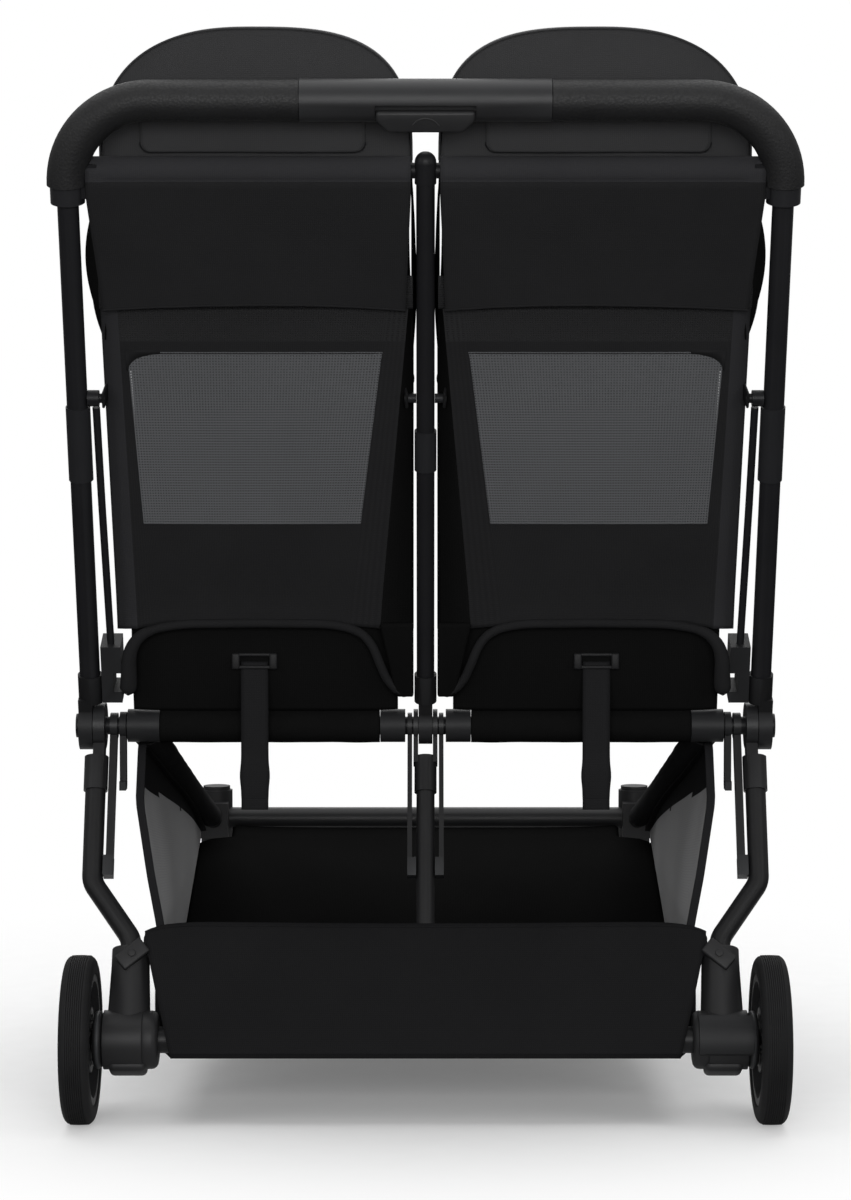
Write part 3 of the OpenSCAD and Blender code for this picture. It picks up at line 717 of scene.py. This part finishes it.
for side in SIDES:
    for piece in (rear_shell, rear_panel, rear_piping, rear_hem, window_flap, flap_binding):
        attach(piece[side], "handle_frame")
        flatten(piece[side])
    for piece in (hood_shell, brim, hood_arms):
        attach(piece[side], f"canopy_{side}")
        flatten(piece[side])
    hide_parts(f"canopy_rear_{side}")
    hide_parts(f"canopy_hood_{side}")
    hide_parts("peek_flaps")

# Back flaps: one width of polyester per seat, wrapped round the top bar and hung behind the seat.
# A row of stitching closes the sleeve, and the weighted lower edge rises a little in the middle.
seat_cloth = woven("seat_polyester_weave", "#1a1a1b", "#272728", 2.0, 0.88, 0.08)
# A lighter copy of the seat cloth: painted light, where light falls on the sleeve and the outer
# wings.
light_painted_cloth = woven("seat_polyester_painted_lighter_where_lit", "#28282a", "#353537", 2.0, 0.86)
BAR_Y, BAR_S, SLEEVE_R, SEAM_S = 4, 624, 13.7, 617
sleeve = [(BAR_Y + SLEEVE_R * math.cos(math.radians(a)),
           BAR_S + SLEEVE_R * math.sin(math.radians(a))) for a in range(-20, 186, 8)]
flap_line = sleeve + [(-9.6, SEAM_S), (-10.6, 611), (-10.4, 599), (-9.9, 560), (-9.8, 520),
                      (-10.6, 479)]


def back_flap_place(u, v):
    y, s = between(flap_line, v)
    drop = max(0, (600 - s) / 120)
    s += 7 * math.sin(math.pi * u) ** 0.8 * min(1, drop) ** 3
    inner, outer = 14.8 + 5.5 * drop, 342.6 - 12 * drop
    y += 1.6 * math.exp(-((s - SEAM_S) / 2.5) ** 2) * (u < 0.94)
    billow = 1.6 * math.sin(2.2 * math.pi * u + 0.6) * min(1, drop) ** 1.5
    edge = 1.5 * (abs(2 * u - 1) ** 12) * min(1, drop)
    return on_handle(inner + (outer - inner) * u, y + billow + edge, s)


def back_flap_paint(u, v):
    # The sleeve round the top bar takes the lighter copy: painted light from above.
    return 1 if between(flap_line, v).y > SEAM_S else 0


back_flap = twins("back_flap_cloth", cloth("flap", 60, 90, (322, 200), back_flap_place,
                                           [seat_cloth, light_painted_cloth], 1.6, back_flap_paint))
flap_hem = twins("back_flap_hem", edge_cord(
    "hem", [back_flap_place(i / 40, 0.9985) for i in range(41)], 1.5, seat_cloth))
for side in SIDES:
    for piece in (back_flap, flap_hem):
        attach(piece[side], "handle_frame")
    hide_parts("back_flaps")

# Seat backs: polyester over a wire hoop, with an airy mesh window let into the upper half.
# The sides turn forward at a seam, the outer side painted lighter where light falls and the inner
# side painted dark as shade, and the lower edge is a soft roll with a shade-painted dark ear
# inside.


def mesh_weave(name, thread, pitch_mm, open_share, relief_mm):
    """An open warp-knitted mesh: crossed threads with square holes, drawn coarse to show."""
    material, tree = empty_material(name)
    gap = threads(tree, pitch_mm, {})
    hole = add(tree, "MapRange", {"Value": gap.outputs[0], "From Min": 0.30, "From Max": 0.42})
    solid = add(tree, "TexCoord")
    cloud = add(tree, "TexNoise", {"Vector": solid.outputs["Object"], "Scale": 1 / 0.12,
                                   "Detail": 3})
    tone = add(tree, "Mix", {"Factor": cloud.outputs["Fac"], 6: linear(thread[0]),
                             7: linear(thread[1])}, data_type="RGBA")
    relief = add(tree, "Bump", {"Height": gap.outputs[0], "Strength": 0.5,
                                "Distance": relief_mm * MM}, invert=True)
    clear = add(tree, "Math", {0: hole.outputs[0], 1: -open_share, 2: 1.0},
                operation="MULTIPLY_ADD")
    skin = add(tree, "BsdfPrincipled", {"Base Color": tone.outputs[2], "Roughness": 0.8,
                                        "Alpha": clear.outputs[0], "Normal": relief.outputs[0],
                                        "Specular IOR Level": 0.15})
    add(tree, "OutputMaterial", {"Surface": skin.outputs[0]})
    return material


window_mesh = mesh_weave("knitted_window_mesh", ("#525355", "#5b5c5e"), 3.0, 0.6, 0.3)
gusset_mesh = mesh_weave("knitted_gusset_mesh", ("#202021", "#262627"), 2.4, 0.25, 0.2)
BACK_LOW, BACK_HIGH, GUSSET = 124, 478, 34
COLUMN_LOW, COLUMN_HIGH, BAND_LOW = 120, 474, 443
OUTER_SEAM, INNER_SEAM, WINDOW_OUTER, WINDOW_INNER = 0.07, 0.93, 0.10, 0.90
WINDOW_LOW, WINDOW_HIGH = 236.5, 429
back_columns = [(0, 331, 335), (OUTER_SEAM, 308, 316), (WINDOW_OUTER, 292, 311), (0.50, 185, 176),
                (WINDOW_INNER, 82.5, 39), (INNER_SEAM, 49, 18.5), (1, 13, 12.8)]


def back_x(u, s):
    """X of a column of the seat back's cloth at a height, from the outer side to the inner."""
    rise = (s - COLUMN_LOW) / (COLUMN_HIGH - COLUMN_LOW)
    for (u0, a0, b0), (u1, a1, b1) in zip(back_columns, back_columns[1:]):
        if u <= u1:
            t = (u - u0) / (u1 - u0)
            return (a0 + (a1 - a0) * t) * (1 - rise) + (b0 + (b1 - b0) * t) * rise
    return 0


def back_place(u, v):
    s = BACK_LOW + (BACK_HIGH - BACK_LOW) * v
    x = back_x(u, s)
    wing = (max(0, OUTER_SEAM - u) + max(0, u - INNER_SEAM)) / OUTER_SEAM
    turn = 15 * wing ** 1.3
    sag = 2.5 * math.sin(math.pi * v) * math.sin(math.pi * clamp((u - OUTER_SEAM) / 0.86))
    seam = -0.9 * sum(math.exp(-((u - at) / 0.008) ** 2) for at in (OUTER_SEAM, INNER_SEAM))
    low = max(0, 1 - v / 0.1)
    curve = 14 * (max(0, abs(2 * u - 1) - 0.68) / 0.32) ** 1.3 * low
    return on_handle(x, 1.5 + turn - sag * 0.5 + seam - 3.0 * low ** 2, s - curve)


def back_paint(u, v):
    s = BACK_LOW + (BACK_HIGH - BACK_LOW) * v
    # The outer wing takes the lighter copy (painted light) and the inner wing the darker one
    # (painted shade).
    if u < OUTER_SEAM or u > INNER_SEAM:
        return 4 if u < OUTER_SEAM else 3
    if s > BAND_LOW:
        return 2
    return 1 if WINDOW_OUTER < u < WINDOW_INNER and WINDOW_LOW < s < WINDOW_HIGH else 0


seat_back = twins("seat_back_cloth", cloth("back", 100, 90, (320, 360), back_place,
                                           [seat_cloth, window_mesh, gusset_mesh, shade_painted_cloth,
                                            light_painted_cloth], 1.5, back_paint))
round_corner = [(WINDOW_OUTER + 0.105 * (1 - math.sin(a)), WINDOW_HIGH - 17 * (1 - math.cos(a)))
                for a in [math.radians(15 * i) for i in range(7)]]
corners = [(WINDOW_OUTER, WINDOW_LOW), (WINDOW_INNER, WINDOW_LOW), (WINDOW_INNER, WINDOW_HIGH),
           *round_corner]


def on_back(u, s):
    return back_place(u, (s - BACK_LOW) / (BACK_HIGH - BACK_LOW))


frame_line = []
for (u0, s0), (u1, s1) in zip(corners, corners[1:] + corners[:1]):
    steps = 3 if abs(s1 - s0) + 300 * abs(u1 - u0) < 20 else 24
    frame_line += [on_back(u0 + (u1 - u0) * i / steps, s0 + (s1 - s0) * i / steps)
                   for i in range(steps)]
bm = bmesh.new()
uv = bm.loops.layers.uv.new("cut")
behind = on_handle(0, -1.3, 0) - on_handle(0, 0, 0)
tip = bm.verts.new(on_back(0.093, WINDOW_HIGH + 4) + behind)
rim = [bm.verts.new(on_back(u, s) + behind) for u, s in
       [(0.205, WINDOW_HIGH + 4), *round_corner, (0.093, WINDOW_HIGH - 19)]]
for a, b in zip(rim, rim[1:]):
    face = bm.faces.new((tip, a, b))
    for loop in face.loops:
        loop[uv].uv = (loop.vert.co.x, loop.vert.co.z)
corner_patch = to_object("patch", bm, [seat_cloth])
corner_patch.modifiers.new("thickness", "SOLIDIFY").thickness = 1.2 * MM
corner_patch = twins("seat_back_corner_patch", corner_patch)
window_seam = twins("seat_back_window_seam", edge_cord("seam", frame_line + frame_line[:1], 1.0,
                                                       seat_cloth))
roll = [(321, 41), (319, 60), (319, 84), (315, 100), (303, 113), (282, 120), (255, 123.5),
        (177, 124.5), (105, 123.5), (80, 119), (64, 110), (55, 96), (49, 78), (42, 60), (32, 47),
        (18, 40)]
roll = [between(roll, i / 90) for i in range(91)]
for _ in range(6):
    eased = [(a + 2 * b + c) / 4 for a, b, c in zip(roll, roll[1:], roll[2:])]
    roll = [roll[0], *eased, roll[-1]]


def roll_girth(t):
    return (5 + 5 * max(0, 1 - t / 0.22) ** 0.7) * min(1, math.sqrt(min(t, 1 - t) / 0.03) + 0.1)


back_hem = twins("seat_back_hem", edge_cord(
    "hem", [on_handle(x, -4 - 5 * clamp((112 - s) / 30), s) for x, s in roll], 1.0,
    seat_cloth, roll_girth))
ear = block((36, 8, 86), (30.8, -7, 83), 3.9, 5)
for vert in ear.verts:
    droop = max(0, (98 - vert.co.z / MM) / 60)
    vert.co.x -= 20 * droop ** 2 * (vert.co.x / MM - 12.8) / 36 * MM
    vert.co.y -= 3 * droop * MM
# The ear is of the darker cloth: painted shade beside the centre post.
ear_cloth = to_object("ears", lean(ear, HANDLE_LEAN, 1), [shade_painted_cloth])
ear_cloth.data.uv_layers.new(name="cut")
back_ears = twins("seat_back_ears", ear_cloth)


def gusset_place(u, v):
    """The slack strip between the flap's sleeve and the top of the seat back."""
    y = 1.5 + 4 * v - 3 * math.sin(math.pi * v)
    return on_handle(back_x(u, COLUMN_HIGH), y, BACK_HIGH + GUSSET * v)


gusset = twins("recline_gusset", cloth("gusset", 60, 30, (318, GUSSET), gusset_place,
                                       [gusset_mesh], 1.0))
for side, sign in SIDES.items():
    for piece in (seat_back, window_seam, back_hem, back_ears, corner_patch):
        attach(piece[side], f"seat_back_{side}")
        flatten(piece[side], -19)
    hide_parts(f"seat_back_{side}")
    low = on_handle(sign * SEAT_X, 0, BACK_HIGH)
    high = on_handle(sign * SEAT_X, 0, BACK_HIGH + GUSSET)
    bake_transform(gusset[side])

# Cross axle wraps: foam sleeves in black polyester round the cross axle, between the knuckles,
# drawn in the darker copy of the seat cloth, which paints the shade under the seats.
# Each is pulled tight and closed underneath, and creases a little round the tube.


def wrap_place(u, v):
    x = 49.6 + 237.8 * u
    a = 2 * math.pi * v
    ripple = 0.5 * noise.noise((x / 30, 2 * math.cos(a), 2 * math.sin(a)))
    r = 18.3 + ripple
    return (AXLE + Vector((x, r * math.cos(a), r * math.sin(a)))) * MM


wrap = cloth("wrap", 60, 48, (238, 116), wrap_place, [shade_painted_cloth], 0)
bm = bmesh.new()
bm.from_mesh(wrap.data)
bmesh.ops.remove_doubles(bm, verts=bm.verts, dist=0.02 * MM)
bmesh.ops.holes_fill(bm, edges=[e for e in bm.edges if e.is_boundary])
bmesh.ops.recalc_face_normals(bm, faces=bm.faces)
bm.to_mesh(wrap.data)
bm.free()
for side, piece in twins("axle_wrap", wrap).items():
    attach(piece, "front_frame")
    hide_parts("axle_sleeves")

# Seat cushions: foam in quilted polyester on the seat tubes, with a low wall behind that the
# seat back folds over. Two sewn channels cross each cushion.
pad_cloth = moulded("quilted_seat_polyester", "#1a1a1b", "#252628", 0.86, 1.6, 0.3, 0.12)
CUSHION_X, CUSHION_Y = 168, 180
SIM_STEPS, VOXEL = 20, 6
WALL_LEAN = 15


def swell(bm, name, pressure, cap):
    """Fills a closed mesh as a foam pad fills its cover: cloth under pressure, then eased."""
    mesh = bpy.data.meshes.new(name)
    bm.to_mesh(mesh)
    bm.free()
    pad = bpy.data.objects.new(name, mesh)
    scene.collection.objects.link(pad)
    remesh = pad.modifiers.new("even", "REMESH")
    remesh.mode = "VOXEL"
    remesh.voxel_size = VOXEL * MM
    bpy.context.view_layer.update()
    even = applied(pad)
    pad.modifiers.clear()
    pad.data = even
    rest = [v.co.copy() for v in even.vertices]
    sim = pad.modifiers.new("cover", "CLOTH")
    sim.settings.use_pressure = True
    sim.settings.uniform_pressure_force = pressure
    sim.settings.effector_weights.gravity = 0
    sim.point_cache.frame_start, sim.point_cache.frame_end = 1, SIM_STEPS
    for step in range(1, SIM_STEPS + 1):
        scene.frame_set(step)
    filled = applied(pad)
    pad.modifiers.clear()
    pad.data = filled
    for vert, start in zip(filled.vertices, rest):
        move = vert.co - start
        if move.length > cap * MM:
            vert.co = start + move.normalized() * cap * MM
    scene.frame_set(1)
    return pad


def set_pad(pad, material, shape):
    """Sews and places a filled pad, and smooths it once."""
    for vert in pad.data.vertices:
        vert.co = shape(vert.co / MM)
    pad.data.materials.clear()
    pad.data.materials.append(material)
    pad.data.shade_smooth()
    soft = pad.modifiers.new("smooth", "SUBSURF")
    soft.levels = soft.render_levels = 1
    return pad


def cushion_shape(p):
    top = clamp((p.z - 6) / 8)
    for channel in (-60, 45):
        p.z -= 5 * top * math.exp(-((p.y - channel) / 6) ** 2)
    return on_seat(CUSHION_X + p.x, CUSHION_Y + p.y, min(29.5, max(6.2, 16 + p.z)))


cushion = twins("seat_cushion_pad", set_pad(
    swell(block((258, 286, 13), (0, 0, 0), 5, 3), "cushion", 4, 9), pad_cloth, cushion_shape))


def wall_place(u, v):
    """The low wall behind a cushion, tucked under the seat back and round the axle wrap."""
    x = 30 + 286 * u
    z = 19.5 + 105 * v
    edge = abs(2 * u - 1) ** 8
    y = -4.5 + 4 * edge - 3.5 * math.sin(math.pi * v) * (1 - edge)
    return tipped(x, y, z, WALL_LEAN)


def press(piece):
    """Gives a piece its own copy of its mesh."""
    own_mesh(piece)


# The wall is of the darker cloth: painted shade under the seat back.
wall = twins("seat_back_wall", cloth("wall", 60, 24, (286, 105), wall_place, [shade_painted_cloth], 2.0))
for side in SIDES:
    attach(cushion[side], "front_frame")
    press(cushion[side])
    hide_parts(f"seat_cushion_{side}")
    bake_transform(wall[side])

# Leg rests: thin quilted pads of the cushions' cloth. Each is on a coated sleeve that turns on a
# rod under the front of its seat.
REST_Y, REST_Z, REST_TURN = 342, -12, -143


def rest_shape(p):
    along = 69 + p.y
    local = Vector((p.x * (1 - along / 2000), p.z, along))
    local = Matrix.Rotation(math.radians(REST_TURN), 3, "X") @ local
    return on_seat(CUSHION_X + local.x, REST_Y + local.y, REST_Z + local.z)


leg_pad = twins("leg_rest_pad", set_pad(
    swell(block((214, 108, 8), (0, 0, 0), 3, 2), "leg", 3, 5), pad_cloth, rest_shape))
hinge = joined(rod(3, 3, 85, 250, 0.6, at=(0, REST_Y, REST_Z)),
               rod(7, 7, 92.4, 242.6, 1, at=(0, REST_Y, REST_Z)))
leg_hinge = twins("leg_rest_hinge", to_object("hinge", lean(hinge, SEAT_TIP, 1), [powder]))
for side in SIDES:
    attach(leg_pad[side], f"leg_rest_{side}")
    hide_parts(f"leg_rest_{side}")
    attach(leg_hinge[side], f"leg_rest_{side}")

# Seat back liners: thin quilted pads that line the front of each seat back, behind the straps.
# Foam in brushed polyester, sewn to the cloth along its edge, with three channels across.


def liner_shape(p):
    rise = (p.y + 168) / 336
    for channel in (-88, 0, 88):
        p.z -= 3 * clamp(p.z / 3) * math.exp(-((p.y - channel) / 5) ** 2)
    x = 177.5 - 7 * rise + p.x / 133 * (123 + 19 * rise)
    return on_handle(x, min(16.5, max(4.2, 10 + p.z)), 303 + p.y)


liner = twins("seat_back_liner", set_pad(
    swell(block((266, 332, 8), (0, 0, 0), 3, 2), "liner", 3, 4), pad_cloth, liner_shape))
for side in SIDES:
    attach(liner[side], f"seat_back_{side}")
    flatten(liner[side], -19)

# Harness and straps: flat polypropylene webbing, woven with a rib, sewn at its ends.
# The shoulder straps are drawn without their soft pads, and each recline strap hangs behind from
# its adjuster.
webbing = woven("ribbed_webbing", "#0f0f10", "#1a1a1c", 2.6, 0.75, 0.15)


def ribbon(name, points, across, width, thickness=1.6, material=webbing, flare=None):
    """A flat strap along points in metres, of one width or as wide as its flare says."""
    across = Vector(across).normalized() * width * MM / 2
    length = sum(steps_along(points)) / MM

    def place(u, v):
        return between(points, v) + across * (2 * u - 1) * (flare(v) if flare else 1)

    return cloth(name, 6, max(8, int(length / 5)), (width, length), place, [material], thickness)


shoulder = []
for x in (-39, 39):
    points = [on_handle(SEAT_X + x, 18.4 + 1.0 * math.sin(math.pi * i / 25), 150 + 10 * i)
              for i in range(26)]
    shoulder.append(twins(f"shoulder_strap_{'outer' if x > 0 else 'inner'}",
                          ribbon("strap", points, (1, 0, 0), 26)))
lap = twins("lap_strap", ribbon("strap", [on_seat(58 + 11 * i, 138, 31.2 + 0.8 * math.sin(i))
                                          for i in range(21)], (0, 1, 0.14), 34))
crotch = twins("crotch_strap", ribbon("strap", [on_seat(CUSHION_X, 160 + 4 * i, 31.2)
                                                for i in range(11)], (1, 0, 0), 28))
STRAP_X = 184
hang = [Vector((STRAP_X, -219.9 - 1.6 * math.sin(math.pi * clamp((z - 318) / 60)), z)) * MM
        for z in range(478, 316, -4)]


def strap_flare(v):
    return 1.02 + 0.10 * math.exp(-((v - 0.77) / 0.07) ** 2) - 0.05 * max(0, (v - 0.9) / 0.1)


recline = twins("recline_strap", ribbon("strap", hang, (1, 0, 0), 29, 1.8, flare=strap_flare))
hem = twins("recline_strap_hem", ribbon("hem", [Vector((STRAP_X, -221.5, z)) * MM
                                                for z in (330, 326, 322, 318)], (1, 0, 0), 29, 3))
bars = joined(*[block((48, 6, 4), (STRAP_X, -219.7, z), 1.4, 3) for z in (485.5, 472)],
              *[block((9, 7.4, 18), (STRAP_X + x, -219.9, 478.5), 2, 3) for x in (-20.2, 20.2)])
adjuster = twins("recline_adjuster", to_object("adjuster", bars, [nylon]))
for side in SIDES:
    for strap in shoulder:
        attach(strap[side], f"seat_back_{side}")
        flatten(strap[side], -19)
        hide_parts(f"shoulder_harness_{side}")
    for strap, size, hold in ((lap, (0.034, 0.22), "laid"), (crotch, (0.028, 0.04), "laid"),
                              (recline, (0.028, 0.162), "hung"), (hem, (0.03, 0.012), "folded")):
        if hold == "hung":
            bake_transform(strap[side])
        else:
            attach(strap[side], "front_frame")
        if hold == "laid":
            press(strap[side])
    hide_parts("lap_harnesses")
    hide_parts("recline_straps")
    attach(adjuster[side], "handle_frame")

# Leg sleeves: black polyester tunnels sewn round the front legs, which carry the basket's sides.
# Each is pulled tight, closed along its underside and creased a little towards its ends.
LEG_START = AXLE + Vector((311.6, 0, 0))
LEG_WAY = Vector((-0.07156, 0.9540, -0.2911)).normalized()
leg_side = LEG_WAY.cross(Vector((0, 0, 1))).normalized()
leg_up = leg_side.cross(LEG_WAY)


def leg_sleeve_place(u, v):
    a = 2 * math.pi * u
    along = 26 + 552 * v
    ripple = 0.6 * noise.noise((along / 26, 2 * math.cos(a), 2 * math.sin(a)))
    r = 13.2 + ripple + 9 * max(0, -math.cos(a)) * (1 - v) ** 2
    return (LEG_START + LEG_WAY * along + leg_side * r * math.cos(a)
            + leg_up * r * math.sin(a)) * MM


leg_sleeve = twins("front_leg_sleeve", cloth("sleeve", 36, 90, (84, 552), leg_sleeve_place,
                                             [seat_cloth], 1.2))
for side in SIDES:
    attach(leg_sleeve[side], "front_frame")

# Basket: one polyester sheet from the rear panel down round the axle tube and up to the front
# bar, with knitted mesh sides. It is bound at every edge and sags a little between the legs.
basket_cloth = woven("basket_polyester_weave", "#131314", "#1d1d1e", 2.2, 0.9, 0.08)
side_mesh = mesh_weave("knitted_basket_mesh", ("#9a9a9b", "#a2a2a3"), 2.6, 0.12, 0.02)
SIDE_REAR, SIDE_RUN = -296, 678
floor_line = [(SIDE_REAR, 73), (-100, 83), (0, 99), (103, 133), (200, 159), (321, 191), (382, 206),
              (396, 211.5), (402.5, 217)]
top_line = [(SIDE_REAR, 128), (-268, 194), (-255, 252), (-176, 386), (382, 217)]
panel_half = [(72, 266), (192, 296.5), (210, 296.5)]
rear_top, rear_low = on_leg(0, -17, -223) / MM, on_leg(0, -17, -368) / MM
basket_line = [(rear_top.y, rear_top.z)]
basket_line += [(rear_top.y + (rear_low.y - rear_top.y) * i / 8 - 5 * math.sin(math.pi * i / 8),
                 rear_top.z + (rear_low.z - rear_top.z) * i / 8) for i in range(1, 9)]
basket_line += [(-353, 74), (-345, 72.4)]
panel_length = sum(steps_along(basket_line))
basket_line += floor_line
panel_share = panel_length / sum(steps_along(basket_line))


def level(line, at):
    """The second value at a place along a list of points, straight from one to the next."""
    for (a0, b0), (a1, b1) in zip(line, line[1:]):
        if at <= a1:
            return b0 + (b1 - b0) * max(0, at - a0) / (a1 - a0)
    return line[-1][1]


def basket_place(u, v):
    y, z = between(basket_line, v)
    x = 2 * u - 1
    inside = v > panel_share
    half = level(panel_half, z)
    if inside:
        half = 266 + 18.5 * min(1, (y + 345) / 60) - 40 * clamp((y - 370) / 10)
    corner = 0 if inside else 12 * abs(x) ** 14 * clamp((z - 190) / 20)
    sag = 9 * (1 - x * x) * math.sin(math.pi * clamp((y - SIDE_REAR) / SIDE_RUN)) if inside else 0
    crown = -3 * (1 - x * x) if z > 195 and not inside else 0
    return Vector((x * half, y, z - corner - sag + crown + 3 * abs(x) ** 6 * (sag > 0))) * MM


def basket_paint(u, v):
    # The inside of the basket takes the darker cloth: painted shade from the seats above.
    return 1 if v > panel_share else 0


basket = cloth("basket_sheet", 96, 110, (572, 900), basket_place, [basket_cloth, shade_painted_cloth], 2.0,
               basket_paint)


def side_x(y, z):
    """The sides lean out from the floor to the front legs, most of all at the rear."""
    return 284.5 + 27 * clamp((z - 195) / 130) * clamp(1 - (y + 176) / 420)


def side_yz(u, v):
    y = SIDE_REAR + SIDE_RUN * u
    low, high = level(floor_line, y), level(top_line, y)
    return y, low + (high - low) * v


def side_place(u, v):
    y, z = side_yz(u, v)
    return Vector((side_x(y, z) - 2 * math.sin(math.pi * u) * math.sin(math.pi * v), y, z)) * MM


def side_paint(u, v):
    y, z = side_yz(u, v)
    return 1 if z > 335 - 0.224 * (y + 150) else 0


basket_sides = twins("basket_side", cloth("side", 113, 40, (SIDE_RUN, 250), side_place,
                                          [side_mesh, basket_cloth], 1.0, side_paint))
edge_path = [(SIDE_REAR, 72), *top_line]
binding = []
for i in range(81):
    y, z = between(edge_path, i / 80)
    binding.append(Vector((side_x(y, z) - 2.5, y, z)) * MM)
basket_binding = twins("basket_binding", ribbon("binding", binding, (1, 0, 0), 9, 3.2,
                                                binding_cloth))
top_hem = edge_cord("basket_rear_hem", [basket_place(i / 60, 0.004) for i in range(61)], 1.8,
                    basket_cloth)
for piece in (basket, top_hem, *basket_sides.values(), *basket_binding.values()):
    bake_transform(piece)
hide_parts("basket")

# The bounds of everything drawn but the backdrop, once dressed.
low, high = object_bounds()
